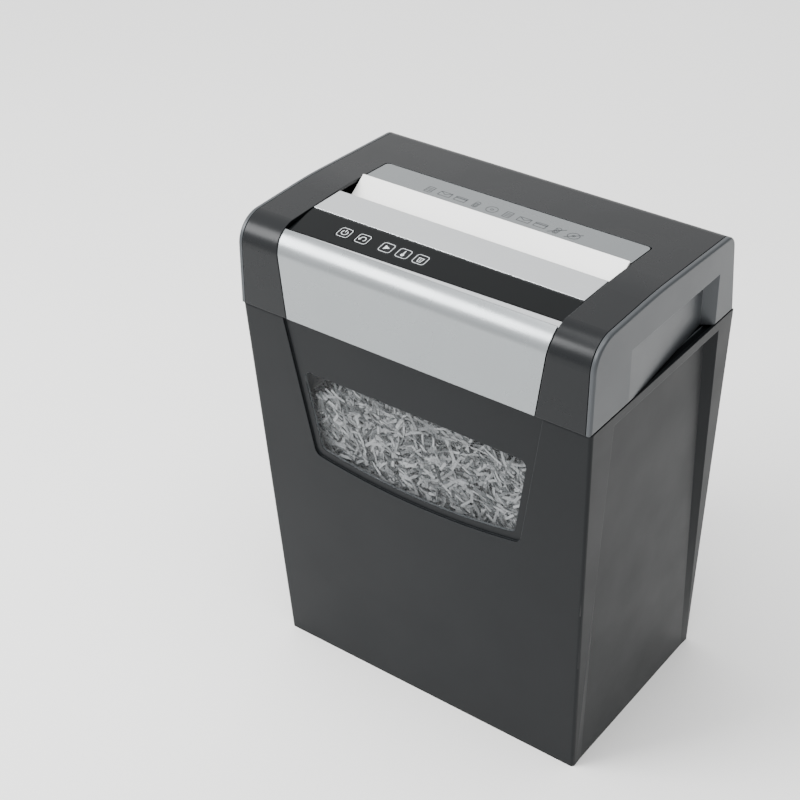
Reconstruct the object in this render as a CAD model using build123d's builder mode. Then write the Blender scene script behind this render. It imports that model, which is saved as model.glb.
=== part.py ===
# Deskside paper shredder: a cutter head that lifts off an open-topped waste bin.
# Millimetres. +Z up, +X to the object's right, the front faces -Y.
# The origin is on the floor, under the middle of the overall box.
from build123d import *
from math import acos, atan2, cos, hypot, pi, radians, sin, tan
import os

os.makedirs("parts", exist_ok=True)

# ---------------------------------------------------------------- driving sizes
# bin
rim_width = 350.0
rim_depth = 230.0
floor_width = 325.0
floor_depth = 210.0
bin_height = 380.0
bin_wall = 2.6
bin_front_wall = 4.6
bin_floor = 3.0
bin_edge_radius = 3.0

side_recess_depth = 9.0
side_recess_foot_depth = 0.5
side_recess_ramp = 9.0
front_pillar_top = 34.0
front_pillar_foot = 5.0
rear_pillar_top = 27.0
rear_pillar_foot = 4.0
ledge_drop = 4.0
ledge_thickness = 5.0

inset_depth = 2.0
inset_half_width_top = 131.0
inset_half_width_foot = 108.0
inset_foot_drop = 140.0
inset_bow = 10.0
inset_corner_radius = 9.0
window_top_drop = 52.0
window_margin = 7.5
window_corner_radius = 7.0
window_flange = 5.0
window_flange_thickness = 1.5
window_fit = 0.1

back_panel_half_width = 109.0
back_panel_top_drop = 30.0
back_panel_radius = 45.0
back_panel_relief = 1.2

heap_gap = 1.5
heap_floor_gap = 0.2
heap_shoulder_drop = 76.0
heap_top_drop = 50.0
heap_top_inset = 22.0

# cutter head shell
seat_gap = 0.3
head_front_overhang = 2.0
head_back_setback = 3.0
head_height = 82.0
head_front_lean = 2.4
head_front_drop = 2.5
head_back_lean = 9.5
head_back_drop = 5.5
crown_y = -20.0
shoulder_radius = 26.0
back_radius = 13.0
crown_radius = 500.0
shell_wall = 2.5
cover_gap = 0.8
cover_thickness = 4.2
cover_edge_radius = 2.2
hoop_arm_width = 36.0
hoop_arm_width_foot = 46.0
opening_straight_drop = 12.0
opening_back_y = 41.0
oversize = 10.0
opening_corner_radius = 4.0
panel_gap = 1.2

grip_depth = 11.0
grip_front_y = -60.0
grip_back_y = 81.0
grip_ramp = 6.0
grip_height = 49.0
grip_wall = 2.5

# top face strips
panel_top_y = -100.6
strip_back_y = -64.0
throat_front_y = -27.0
guide_top_y = 7.5
guide_slope = 35.0
guide_thickness = 2.2
strip_front_drop = 6.2
strip_rear_drop = 1.1
strip_deck_drop = 0.8
strip_thickness = 2.5
strip_sink = 0.6
trim_width_left = 1.2
trim_width_right = 7.0
throat_lip_thickness = 2.0
throat_lip_radius = 1.5
guide_top_drop = 0.5
throat_lead_drop = 16.0
throat_foot_rise = 40.0
throat_slot = 5.6
throat_end_gap = 0.6
throat_notch_room = 10.0
throat_notch_width = 60.0

# keys and lamps, from the left along the control strip
icon_positions = (-87.0, -68.0, -43.5, -26.5, -9.5)
key_count = 2
icon_y = -80.0
key_side = 13.4
key_corner = 3.0
key_hole_gap = 0.35
key_flange = 1.6
key_flange_thickness = 1.0
key_travel = 0.8
key_stem_radius = 2.0
switch_gap = 0.3
switch_height = 3.6
switch_side = 6.0
switch_body_share = 0.7
switch_corner = 0.6
switch_button_radius = 1.7
lamp_radius = 1.6
lamp_height = 3.0
lamp_round = 0.8
board_depth_below_strip = 11.0
board_thickness = 1.6
board_corner = 1.5
board_left_x = -105.0
board_right_x = 4.0
board_front_reach = 9.0
board_back_reach = 12.0
board_leg_radius = 2.5
board_leg_inset_x = 4.0
board_leg_inset_y = 3.5

# lower housing
skirt_drop = 35.0
skirt_side_gap = 2.05
skirt_front_gap = 0.75
skirt_wall = 2.5
skirt_top_lap = 4.0
lap_gap = 0.15
flange_thickness = 3.0
grip_clearance = 0.2
skirt_side_inset = 9.4
skirt_block_gap = 1.6
skirt_block_ramp = 9.0
skirt_notch_width = 9.0
skirt_notch_depth = 4.0
skirt_notch_left_x = -126.5
skirt_notch_mid_x = -15.0
outlet_half_width = 115.0
outlet_front_y = -58.0
outlet_back_y = 16.0

# cutters
throat_y = -21.5
cutter_rise = 15.0
disc_overlap = 2.0
disc_pitch = 8.0
disc_width = 3.7
disc_count = 28
disc_teeth = 6
tooth_depth = 2.6
tooth_stagger = 7.0
tooth_rake = 35.0
core_radius = 10.0
journal_radius = 7.0
plate_inner_x = 116.0
plate_thickness = 2.0
core_end_gap = 1.2
bush_radius = 11.0
bush_inset = 0.6
bush_length = 4.0
running_clearance = 0.05
comb_finger_width = 3.5
comb_core_gap = 0.6
comb_bar_thickness = 4.5
comb_disc_gap = 1.2
comb_height = 24.0

# side plates
plate_front_y = -68.0
plate_back_y = 97.0
plate_drop = 30.0
plate_rise = 66.0
plate_corner = 12.0
rod_radius = 4.0
rod_offsets = ((-62.0, -18.0), (-62.0, 51.0), (90.0, -20.0), (26.0, 58.0))

# gear train
sync_module = 2.0
sync_teeth = 17
sync_x = 120.0
sync_width = 8.0
train_module = 1.5
drive_teeth = 36
idler_teeth = 20
pinion_teeth = 14
train_angle = 8.5
train_x = 130.5
train_width = 8.0
gear_backlash = 0.6
gear_rim_thickness = 3.0
gear_web_room = 4.0
sync_hub_radius = 9.0
drive_hub_radius = 10.0
small_hub_radius = 7.0
addendum = 0.85
dedendum = 1.25
pressure_angle = 20.0
idler_pin_radius = 4.0
idler_pin_reach = 3.0
idler_shoulder = 2.5
idler_side_gap = 0.4
clip_thickness = 1.0
clip_reach = 2.6
clip_mouth_width = 3.0
pinion_shaft_radius = 5.0
gearbox_radius = 31.0
gearbox_length = 30.0
gearbox_round = 3.0
motor_radius = 28.0
motor_length = 92.0
motor_round = 4.0
motor_end_radius = 14.0
motor_end_length = 5.0
motor_slot_start = 10.0
motor_slot_share = 0.35
motor_slot_count = 8
motor_slot_depth = 2.0
motor_slot_width = 8.0
shaft_end_gap = 1.0
motor_boss_radius = 9.0
motor_boss_length = 6.0
boss_gap = 0.2

# auto-start lever
lever_pivot_y = -9.0
lever_pivot_rise = 57.0
lever_pin_radius = 1.5
lever_hub_radius = 3.2
lever_width = 5.0
lever_slot_gap = 1.2
lever_slot_height = 27.0
lever_slot_drop = 4.0
lever_tip_gap = 0.6
lever_tip_drop = 8.0
lever_tip_rise = 1.6
lever_tip_fall = 0.4
lever_root_rise = 1.8
lever_root_fall = 2.6
lug_gap = 0.5
lug_thickness = 2.0
lug_height = 10.0
lug_back_margin = 3.0
start_switch_depth = 6.0
start_switch_height = 10.0
start_switch_button_radius = 1.2
start_switch_button_reach = 1.4
start_switch_button_drop = 1.0

# rear inlet
gland_x = -118.0
gland_rise = 14.0
gland_flange_radius = 10.0
gland_bore_radius = 3.6
gland_body_radius = 6.5
gland_proud = 3.0
gland_length = 13.5

# electrics in the housing floor
power_board_size = (78.0, 58.0)
power_board_centre = (-66.0, 58.0)
power_board_corner = 2.0
power_board_rise = 8.0
power_leg_radius = 3.0
power_leg_inset = 5.0
relay_place = (-84.0, 70.0)
relay_size = (19.0, 15.0)
relay_corner = 1.0
relay_height = 15.0
capacitor_places = ((-50.0, 72.0), (-50.0, 52.0))
capacitor_radius = 6.5
capacitor_height = 18.0
fuse_place = (-80.0, 46.0)
fuse_size = (22.0, 7.0)
fuse_corner = 1.5
fuse_height = 7.0
interlock_place = (-134.0, 92.0)
interlock_size = (20.0, 8.0)
interlock_height = 14.0

# fixings
screw_head_radius = 4.2
screw_head_height = 2.6
screw_shank_radius = 2.0
screw_inset = 12.0
screw_half_span = 150.0
chassis_screw_length = 10.0

# ---------------------------------------------------------------- worked-out sizes
shell_bottom_z = bin_height + seat_gap
head_top_z = bin_height + head_height
skirt_bottom_z = bin_height - skirt_drop
throat_foot_z = bin_height + throat_foot_rise
cutter_z = bin_height + cutter_rise
plate_bottom_z = bin_height - plate_drop
plate_top_z = bin_height + plate_rise
rod_places = [(y, bin_height + rise) for y, rise in rod_offsets]
lever_pivot_z = bin_height + lever_pivot_rise
gland_z = bin_height + gland_rise
bin_back_y = (rim_depth + head_front_overhang) / 2
bin_front_y = bin_back_y - rim_depth
head_front_y = bin_front_y - head_front_overhang
head_back_y = bin_back_y - head_back_setback
bin_foot_front_y = bin_back_y - floor_depth
front_lean = bin_foot_front_y - bin_front_y
cover_outer_x = rim_width / 2
cover_inner_x = cover_outer_x - cover_thickness
hoop_half_width = cover_inner_x - cover_gap
opening_half_width = hoop_half_width - hoop_arm_width
opening_half_width_foot = hoop_half_width - hoop_arm_width_foot
cutter_centre_distance = sync_module * sync_teeth
disc_radius = (cutter_centre_distance + disc_overlap) / 2
front_cutter_y = throat_y - cutter_centre_distance / 2
rear_cutter_y = throat_y + cutter_centre_distance / 2
plate_outer_x = plate_inner_x + plate_thickness
throat_wall_y = throat_y - throat_slot / 2
guide_foot_y = throat_y + throat_slot / 2
drive_radius = train_module * drive_teeth / 2
idler_radius = train_module * idler_teeth / 2
pinion_radius = train_module * pinion_teeth / 2
idler_reach = drive_radius + idler_radius
pinion_reach = idler_reach + idler_radius + pinion_radius
idler_y = rear_cutter_y + idler_reach * cos(radians(train_angle))
idler_z = cutter_z + idler_reach * sin(radians(train_angle))
motor_y = rear_cutter_y + pinion_reach * cos(radians(train_angle))
motor_z = cutter_z + pinion_reach * sin(radians(train_angle))


def bin_half_width(z):
    return (floor_width + (rim_width - floor_width) * z / bin_height) / 2


def bin_front(z):
    return bin_foot_front_y - front_lean * z / bin_height


def recess_depth(z):
    return side_recess_foot_depth + (side_recess_depth - side_recess_foot_depth) * z / bin_height


def recess_start_y(z, grow):
    pillar = front_pillar_foot + (front_pillar_top - front_pillar_foot) * z / bin_height
    return bin_front(z) + pillar - grow


def recess_end_y(z, grow):
    pillar = rear_pillar_foot + (rear_pillar_top - rear_pillar_foot) * z / bin_height
    return bin_back_y - pillar + grow


def save(part, name):
    part.label = name
    export_step(part, f"parts/{name}.step")


def side_face(x):
    return Plane.YZ.offset(x)


# ---------------------------------------------------------------- bin
front_wall = Plane(
    origin=(0, bin_front_y, bin_height),
    x_dir=(1, 0, 0),
    z_dir=(0, -bin_height, -front_lean),
)


def wall_section(z, side_wall, front, back):
    """A level rectangle inside the bin's outer faces."""
    half = bin_half_width(z) - side_wall
    front_y = bin_front(z) + front
    back_y = bin_back_y - back
    with BuildSketch(Plane.XY.offset(z)) as section:
        with Locations((0, (front_y + back_y) / 2)):
            Rectangle(2 * half, back_y - front_y)
    return section.sketch


def recess_section(z, grow):
    """The side recess in plan, on the right, from outside the wall to its bottom."""
    outer_x = bin_half_width(z)
    start_y = recess_start_y(z, grow)
    end_y = recess_end_y(z, grow)
    inner_x = outer_x - recess_depth(z) - grow
    outside_x = outer_x + side_recess_depth
    with BuildSketch(Plane.XY.offset(z)) as section:
        with BuildLine():
            Polyline(
                (outside_x, start_y),
                (outer_x, start_y),
                (inner_x, start_y + side_recess_ramp),
                (inner_x, end_y - side_recess_ramp),
                (outer_x, end_y),
                (outside_x, end_y),
                close=True,
            )
        make_face()
    return section.sketch


recess_top_z = bin_height - ledge_drop - ledge_thickness
ledge_top_z = bin_height - ledge_drop

with BuildPart() as side_recess:
    loft([recess_section(0, 0), recess_section(recess_top_z, 0)])
    mirror(about=Plane.YZ)

with BuildPart() as recess_lining:
    loft([recess_section(0, bin_wall), recess_section(ledge_top_z, bin_wall)])
    mirror(about=Plane.YZ)

with BuildPart() as back_panel:
    with BuildSketch(Plane.XZ.offset(-bin_back_y)):
        with Locations((0, (bin_height - back_panel_top_drop) / 2)):
            Rectangle(2 * back_panel_half_width, bin_height - back_panel_top_drop)
        fillet(vertices().group_by(Axis.Y)[-1], back_panel_radius)
    extrude(amount=bin_wall + back_panel_relief)

with BuildPart() as bin_cavity:
    loft([
        wall_section(bin_floor, bin_wall, bin_front_wall, bin_wall),
        wall_section(bin_height, bin_wall, bin_front_wall, bin_wall),
    ])
    add(recess_lining.part, mode=Mode.SUBTRACT)
    add(back_panel.part, mode=Mode.SUBTRACT)


def inset_half_width(drop):
    share = drop / inset_foot_drop
    return inset_half_width_top + (inset_half_width_foot - inset_half_width_top) * share


def inset_outline(margin, top_drop, corner):
    """The front inset's outline on the wall, or the same set in by a margin."""
    foot_drop = inset_foot_drop - margin
    top_half = inset_half_width(top_drop) - margin
    foot_half = inset_half_width(foot_drop) - margin
    with BuildSketch(front_wall) as outline:
        with BuildLine():
            Polyline(
                (-foot_half, -foot_drop),
                (-top_half, -top_drop),
                (top_half, -top_drop),
                (foot_half, -foot_drop),
            )
            ThreePointArc((foot_half, -foot_drop), (0, -foot_drop - inset_bow), (-foot_half, -foot_drop))
        make_face()
        inner_corners = outline.vertices() if margin > 0 else outline.vertices().group_by(Axis.Y)[0]
        fillet(inner_corners, corner)
    return outline.sketch


with BuildPart() as bin_shell:
    loft([wall_section(0, 0, 0, 0), wall_section(bin_height, 0, 0, 0)])
    upright_edges = bin_shell.edges().filter_by(lambda e: e.length > bin_height * 0.9)
    fillet(upright_edges, bin_edge_radius)
    add(side_recess.part, mode=Mode.SUBTRACT)
    add(bin_cavity.part, mode=Mode.SUBTRACT)
    extrude(inset_outline(0, -1.0, inset_corner_radius), amount=-inset_depth, mode=Mode.SUBTRACT)
    window_hole = inset_outline(window_margin, window_top_drop, window_corner_radius)
    extrude(window_hole, amount=-2 * bin_front_wall, mode=Mode.SUBTRACT)
save(bin_shell.part, "bin_shell")

pane_top_drop = window_top_drop + window_fit
with BuildPart() as bin_window:
    pane = inset_outline(window_margin + window_fit, pane_top_drop, window_corner_radius)
    extrude(pane, amount=-bin_front_wall)
    add(extrude(pane, amount=-inset_depth, mode=Mode.PRIVATE), mode=Mode.SUBTRACT)
    flange_margin = window_margin - window_flange
    flange = inset_outline(flange_margin, window_top_drop - window_flange, window_corner_radius)
    rear_flange = extrude(flange, amount=-bin_front_wall - window_flange_thickness, mode=Mode.PRIVATE)
    rear_flange -= extrude(flange, amount=-bin_front_wall, mode=Mode.PRIVATE)
    add(rear_flange)
save(bin_window.part, "bin_window")


def heap_section(z, inset):
    side = bin_wall + recess_depth(z) + heap_gap + inset
    front = bin_front_wall + window_flange_thickness + heap_gap + inset
    back = bin_wall + back_panel_relief + heap_gap + inset
    return wall_section(z, side, front, back)


with BuildPart() as shredded_paper:
    loft([heap_section(bin_floor + heap_floor_gap, 0), heap_section(bin_height - heap_shoulder_drop, 0)])
    loft([
        heap_section(bin_height - heap_shoulder_drop, 0),
        heap_section(bin_height - heap_top_drop, heap_top_inset),
    ])
save(shredded_paper.part, "shredded_paper")

# ---------------------------------------------------------------- cutter head shell
def head_profile(inset):
    """Side view of the head: steep front, wide shoulder, slight crown, small back corner."""
    bottom_z = shell_bottom_z - inset
    with BuildSketch(Plane.YZ) as profile:
        with BuildLine():
            Polyline(
                (head_front_y + inset, bottom_z),
                (head_front_y + head_front_lean + inset, head_top_z - head_front_drop - inset),
                (crown_y, head_top_z - inset),
                (head_back_y - head_back_lean - inset, head_top_z - head_back_drop - inset),
                (head_back_y - inset, bottom_z),
                close=True,
            )
        make_face()
        fillet(profile.vertices().sort_by_distance((crown_y, head_top_z))[0], crown_radius)
        front_corner = (head_front_y, head_top_z)
        fillet(profile.vertices().sort_by_distance(front_corner)[0], shoulder_radius - inset)
        back_corner = (head_back_y, head_top_z)
        fillet(profile.vertices().sort_by_distance(back_corner)[0], back_radius - inset)
    return profile.sketch


with BuildPart() as hoop_ring:
    extrude(head_profile(0), amount=hoop_half_width, both=True)
    extrude(head_profile(shell_wall), amount=hoop_half_width, both=True, mode=Mode.SUBTRACT)


def front_opening(gap):
    """The open front and top between the hoop's arms, narrower towards the foot."""
    half = opening_half_width - gap
    foot_half = opening_half_width_foot - gap
    straight_z = head_top_z - opening_straight_drop
    with BuildPart() as opening:
        with BuildSketch(Plane.XZ.offset(-head_front_y + oversize)):
            with BuildLine():
                Polyline(
                    (-foot_half, shell_bottom_z - oversize),
                    (-half, straight_z),
                    (-half, head_top_z + oversize),
                    (half, head_top_z + oversize),
                    (half, straight_z),
                    (foot_half, shell_bottom_z - oversize),
                    close=True,
                )
            make_face()
        extrude(amount=head_front_y - oversize - opening_back_y + gap)
        rear_corners = opening.edges().filter_by(Axis.Z).group_by(Axis.Y)[-1]
        fillet(rear_corners, opening_corner_radius)
    return opening.part


def inside_top(z_low, y_low, y_high, gap):
    """A block between two depths, for cutting pieces out of the shell's own skin."""
    z_high = head_top_z + oversize
    with BuildPart() as block:
        with Locations((0, (y_low + y_high) / 2, (z_low + z_high) / 2)):
            Box(2 * (opening_half_width - gap), y_high - y_low, z_high - z_low)
    return block.part


gland_axis = Plane(origin=(gland_x, head_back_y + gland_proud, gland_z), x_dir=(1, 0, 0), z_dir=(0, -1, 0))

with BuildPart() as top_housing:
    add(hoop_ring.part)
    add(front_opening(0), mode=Mode.SUBTRACT)
    with BuildSketch(gland_axis):
        Circle(gland_body_radius)
    extrude(amount=gland_length + back_radius, mode=Mode.SUBTRACT)
save(top_housing.part, "top_housing")


def grip_wedge(grow):
    """The right-hand grip: no depth at the front, full depth at a step near the back."""
    with BuildPart() as wedge:
        with BuildSketch(Plane.XY.offset(shell_bottom_z - oversize)):
            with BuildLine():
                Polyline(
                    (cover_outer_x, grip_front_y - grow),
                    (cover_outer_x - grip_depth - grow, grip_back_y - grip_ramp),
                    (cover_outer_x, grip_back_y + grow),
                    (cover_outer_x + oversize, grip_back_y + grow),
                    (cover_outer_x + oversize, grip_front_y - grow),
                    close=True,
                )
            make_face()
        extrude(amount=grip_height + oversize + grow)
    return wedge.part


with BuildPart() as right_side_cover:
    extrude(head_profile(0).moved(Location((cover_inner_x, 0, 0))), amount=cover_thickness)
    outer_rim = right_side_cover.faces().sort_by(Axis.X)[-1].outer_wire().edges()
    fillet(outer_rim, cover_edge_radius)
    with BuildPart(mode=Mode.PRIVATE) as pocket:
        add(grip_wedge(grip_wall))
        with Locations((cover_inner_x + oversize, 0, shell_bottom_z + head_height / 2)):
            Box(2 * oversize, rim_depth, 2 * head_height, mode=Mode.SUBTRACT)
        with Locations((0, 0, shell_bottom_z - oversize)):
            Box(2 * rim_width, rim_depth, 2 * oversize, mode=Mode.SUBTRACT)
    add(pocket.part)
    add(grip_wedge(0), mode=Mode.SUBTRACT)
save(right_side_cover.part, "right_side_cover")

with BuildPart() as left_side_cover:
    add(right_side_cover.part.mirror(Plane.YZ))
save(left_side_cover.part, "left_side_cover")

# ---------------------------------------------------------------- front panel and top strips
def skin_piece(y_low, y_high):
    """Part of the shell's own skin between the hoop's arms, from one depth to another."""
    with BuildPart() as piece:
        add(hoop_ring.part)
        add(front_opening(panel_gap), mode=Mode.INTERSECT)
        add(inside_top(shell_bottom_z - oversize, y_low, y_high, -panel_gap), mode=Mode.INTERSECT)
    return piece.part


with BuildPart() as front_panel:
    add(skin_piece(head_front_y - oversize, panel_top_y))
save(front_panel.part, "front_panel")

strip_front_z = head_top_z - strip_front_drop
strip_rear_z = head_top_z - strip_rear_drop
strip_front_y = panel_top_y + panel_gap
strip_slope = atan2(strip_rear_z - strip_front_z, strip_back_y - strip_front_y)
strip_plane = Plane(
    origin=(0, strip_front_y, strip_front_z - strip_sink),
    x_dir=(1, 0, 0),
    z_dir=(0, -sin(strip_slope), cos(strip_slope)),
)
strip_length = hypot(strip_rear_z - strip_front_z, strip_back_y - strip_front_y)
strip_half_width = opening_half_width - panel_gap
icon_row = (icon_y - strip_front_y) / cos(strip_slope)
key_positions = icon_positions[:key_count]
lamp_positions = icon_positions[key_count:]

with BuildPart() as control_strip:
    with BuildSketch(strip_plane):
        with BuildLine():
            Polyline(
                (-strip_half_width, trim_width_left + panel_gap),
                (strip_half_width, trim_width_right + panel_gap),
                (strip_half_width, strip_length),
                (-strip_half_width, strip_length),
                close=True,
            )
        make_face()
        with Locations(*[(x, icon_row) for x in icon_positions]):
            RectangleRounded(
                key_side + 2 * key_hole_gap, key_side + 2 * key_hole_gap, key_corner, mode=Mode.SUBTRACT
            )
    extrude(amount=-strip_thickness)
save(control_strip.part, "control_strip")

with BuildPart() as strip_trim:
    with BuildSketch(strip_plane):
        with BuildLine():
            Polyline(
                (-strip_half_width, 0),
                (strip_half_width, 0),
                (strip_half_width, trim_width_right),
                (-strip_half_width, trim_width_left),
                close=True,
            )
        make_face()
    extrude(amount=-strip_thickness)
save(strip_trim.part, "strip_trim")


def key_at(x, name):
    """A square key with a hidden flange under the strip and a stem over its switch."""
    with BuildPart() as key:
        with BuildSketch(strip_plane):
            with Locations((x, icon_row)):
                RectangleRounded(key_side, key_side, key_corner)
        extrude(amount=-strip_thickness - key_hole_gap - key_flange_thickness)
        with BuildSketch(strip_plane.offset(-strip_thickness - key_hole_gap)):
            with Locations((x, icon_row)):
                RectangleRounded(key_side + 2 * key_flange, key_side + 2 * key_flange, key_corner)
        extrude(amount=-key_flange_thickness)
        with BuildSketch(strip_plane.offset(-strip_thickness - key_hole_gap - key_flange_thickness)):
            with Locations((x, icon_row)):
                Circle(key_stem_radius)
        extrude(amount=-key_stem_length)
    save(key.part, name)


board_top = -strip_thickness - board_depth_below_strip
stem_start = -strip_thickness - key_hole_gap - key_flange_thickness
key_stem_length = stem_start - board_top - switch_height - key_travel - switch_gap
key_at(key_positions[0], "power_key")
key_at(key_positions[1], "reverse_key")

with BuildPart() as indicator_lenses:
    with BuildSketch(strip_plane):
        with Locations(*[(x, icon_row) for x in lamp_positions]):
            RectangleRounded(key_side + 2 * key_hole_gap, key_side + 2 * key_hole_gap, key_corner)
    extrude(amount=-strip_thickness)
save(indicator_lenses.part, "indicator_lenses")

with BuildPart() as indicator_lamps:
    with BuildSketch(strip_plane.offset(board_top)):
        with Locations(*[(x, icon_row) for x in lamp_positions]):
            Circle(lamp_radius)
    extrude(amount=lamp_height)
    lamp_tops = indicator_lamps.faces().group_by(Axis.Z)[-1].edges().filter_by(GeomType.CIRCLE)
    fillet(lamp_tops, lamp_round)
save(indicator_lamps.part, "indicator_lamps")

with BuildPart() as key_switches:
    with BuildSketch(strip_plane.offset(board_top)):
        with Locations(*[(x, icon_row) for x in key_positions]):
            RectangleRounded(switch_side, switch_side, switch_corner)
    extrude(amount=switch_height * switch_body_share)
    with BuildSketch(strip_plane.offset(board_top)):
        with Locations(*[(x, icon_row) for x in key_positions]):
            Circle(switch_button_radius)
    extrude(amount=switch_height)
save(key_switches.part, "key_switches")

board_rows = (icon_row - board_front_reach, icon_row + board_back_reach)
with BuildPart() as control_board:
    with BuildSketch(strip_plane.offset(board_top)):
        with Locations(((board_left_x + board_right_x) / 2, sum(board_rows) / 2)):
            RectangleRounded(board_right_x - board_left_x, board_rows[1] - board_rows[0], board_corner)
    extrude(amount=-board_thickness)
save(control_board.part, "control_board")

with BuildPart() as board_spacers:
    with BuildSketch(strip_plane.offset(board_top)):
        with Locations(*[
            (x, row)
            for x in (board_left_x + board_leg_inset_x, board_right_x - board_leg_inset_x)
            for row in (board_rows[0] + board_leg_inset_y, board_rows[1] - board_leg_inset_y)
        ]):
            Circle(board_leg_radius)
    extrude(amount=board_depth_below_strip)
save(board_spacers.part, "board_spacers")

# the throat walls stop short of the side plates below this notch
throat_wall_half_width = plate_inner_x - throat_end_gap
plate_notch_height = plate_top_z + throat_end_gap - throat_foot_z + throat_notch_room
plate_notch_size = (throat_notch_width, throat_notch_width, plate_notch_height)
plate_notches = [
    (side * (throat_wall_half_width + plate_notch_size[0] / 2), throat_y,
     plate_top_z + throat_end_gap - plate_notch_size[2] / 2)
    for side in (-1, 1)
]

# front strip: the flat in front of the throat, with a rounded lip down into it
strip_deck_z = head_top_z - strip_deck_drop
with BuildPart() as front_throat_strip:
    with BuildSketch(Plane.YZ) as lip:
        with BuildLine():
            Polyline(
                (strip_back_y + panel_gap, strip_rear_z),
                (throat_front_y, strip_deck_z),
                (throat_wall_y, strip_deck_z - throat_lead_drop),
                (throat_wall_y, throat_foot_z),
                (throat_wall_y - throat_lip_thickness, throat_foot_z),
                (throat_wall_y - throat_lip_thickness, strip_deck_z - throat_lead_drop),
                (throat_front_y - throat_lip_thickness, strip_deck_z - strip_thickness),
                (strip_back_y + panel_gap, strip_rear_z - strip_thickness),
                close=True,
            )
        make_face()
        lip_corner = lip.vertices().sort_by_distance((throat_front_y, strip_deck_z))[0]
        fillet(lip_corner, throat_lip_radius)
    extrude(amount=strip_half_width, both=True)
    with Locations(*plate_notches):
        Box(*plate_notch_size, mode=Mode.SUBTRACT)
save(front_throat_strip.part, "front_throat_strip")

slope_foot_z = head_top_z - (guide_top_y - guide_foot_y) * tan(radians(guide_slope))
lever_slot_width = lever_width + 2 * lever_slot_gap
lug_back_y = lever_pivot_y + lever_hub_radius + lug_back_margin
with BuildPart() as rear_throat_guide:
    with BuildSketch(Plane.YZ):
        with BuildLine() as guide_line:
            Polyline(
                (guide_top_y - panel_gap, head_top_z - guide_top_drop),
                (guide_foot_y, slope_foot_z),
                (guide_foot_y, throat_foot_z),
            )
            offset(amount=-guide_thickness, side=Side.RIGHT)
        make_face()
    extrude(amount=strip_half_width, both=True)
    with Locations(*plate_notches):
        Box(*plate_notch_size, mode=Mode.SUBTRACT)
    with Locations((0, guide_foot_y, lever_pivot_z - lever_slot_drop)):
        Box(lever_slot_width, 3 * guide_thickness, lever_slot_height, mode=Mode.SUBTRACT)
save(rear_throat_guide.part, "rear_throat_guide")

lug_side_x = lever_slot_width / 2 + lug_gap + lug_thickness / 2
lug_front_y = guide_foot_y + guide_thickness
with BuildPart() as lever_lugs:
    with Locations((lug_side_x, 0, lever_pivot_z), (-lug_side_x, 0, lever_pivot_z)):
        with Locations((0, (lug_front_y + lug_back_y) / 2, 0)):
            Box(lug_thickness, lug_back_y - lug_front_y, lug_height)
    with BuildSketch(Plane.YZ):
        with Locations((lever_pivot_y, lever_pivot_z)):
            Circle(lever_pin_radius)
    extrude(amount=lug_side_x + lug_thickness, both=True, mode=Mode.SUBTRACT)
save(lever_lugs.part, "lever_lugs")

with BuildPart() as lever_pin:
    with BuildSketch(Plane.YZ):
        with Locations((lever_pivot_y, lever_pivot_z)):
            Circle(lever_pin_radius)
    extrude(amount=lug_side_x + lug_thickness, both=True)
save(lever_pin.part, "lever_pin")

lever_tip_y = throat_wall_y + lever_tip_gap
lever_tip_z = lever_pivot_z - lever_tip_drop
with BuildPart() as auto_start_lever:
    with BuildSketch(Plane.YZ):
        with BuildLine():
            Polyline(
                (lever_pivot_y, lever_pivot_z + lever_root_rise),
                (lever_tip_y, lever_tip_z + lever_tip_rise),
                (lever_tip_y, lever_tip_z - lever_tip_fall),
                (lever_pivot_y, lever_pivot_z - lever_root_fall),
                close=True,
            )
        make_face()
        with Locations((lever_pivot_y, lever_pivot_z)):
            Circle(lever_hub_radius)
    extrude(amount=lever_width / 2, both=True)
    with BuildSketch(Plane.YZ):
        with Locations((lever_pivot_y, lever_pivot_z)):
            Circle(lever_pin_radius + running_clearance)
    extrude(amount=lever_width, both=True, mode=Mode.SUBTRACT)
save(auto_start_lever.part, "auto_start_lever")

start_switch_size = (2 * lug_side_x + lug_thickness, start_switch_depth, start_switch_height)
with BuildPart() as start_switch:
    with Locations((0, lug_back_y + start_switch_size[1] / 2, lever_pivot_z)):
        Box(*start_switch_size)
    with BuildSketch(Plane.XZ.offset(-lug_back_y)):
        with Locations((0, lever_pivot_z - start_switch_button_drop)):
            Circle(start_switch_button_radius)
    extrude(amount=start_switch_button_reach)
save(start_switch.part, "start_switch")

# rear strip: the flat behind the throat
with BuildPart() as rear_strip:
    add(skin_piece(guide_top_y, opening_back_y))
save(rear_strip.part, "rear_strip")

# ---------------------------------------------------------------- lower housing
skirt_top_z = shell_bottom_z + skirt_top_lap
front_creep = head_front_lean * (skirt_top_lap + shell_wall) / (head_height - head_front_drop)
back_creep = head_back_lean * (skirt_top_lap + shell_wall) / (head_height - head_back_drop)
flange_front_y = head_front_y + shell_wall + front_creep + lap_gap
flange_back_y = head_back_y - shell_wall - back_creep - lap_gap
skirt_half_width = bin_half_width(skirt_bottom_z) - bin_wall - skirt_side_gap
skirt_front_y = bin_front(skirt_bottom_z) + bin_front_wall + skirt_front_gap
skirt_back_y = flange_back_y


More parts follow.
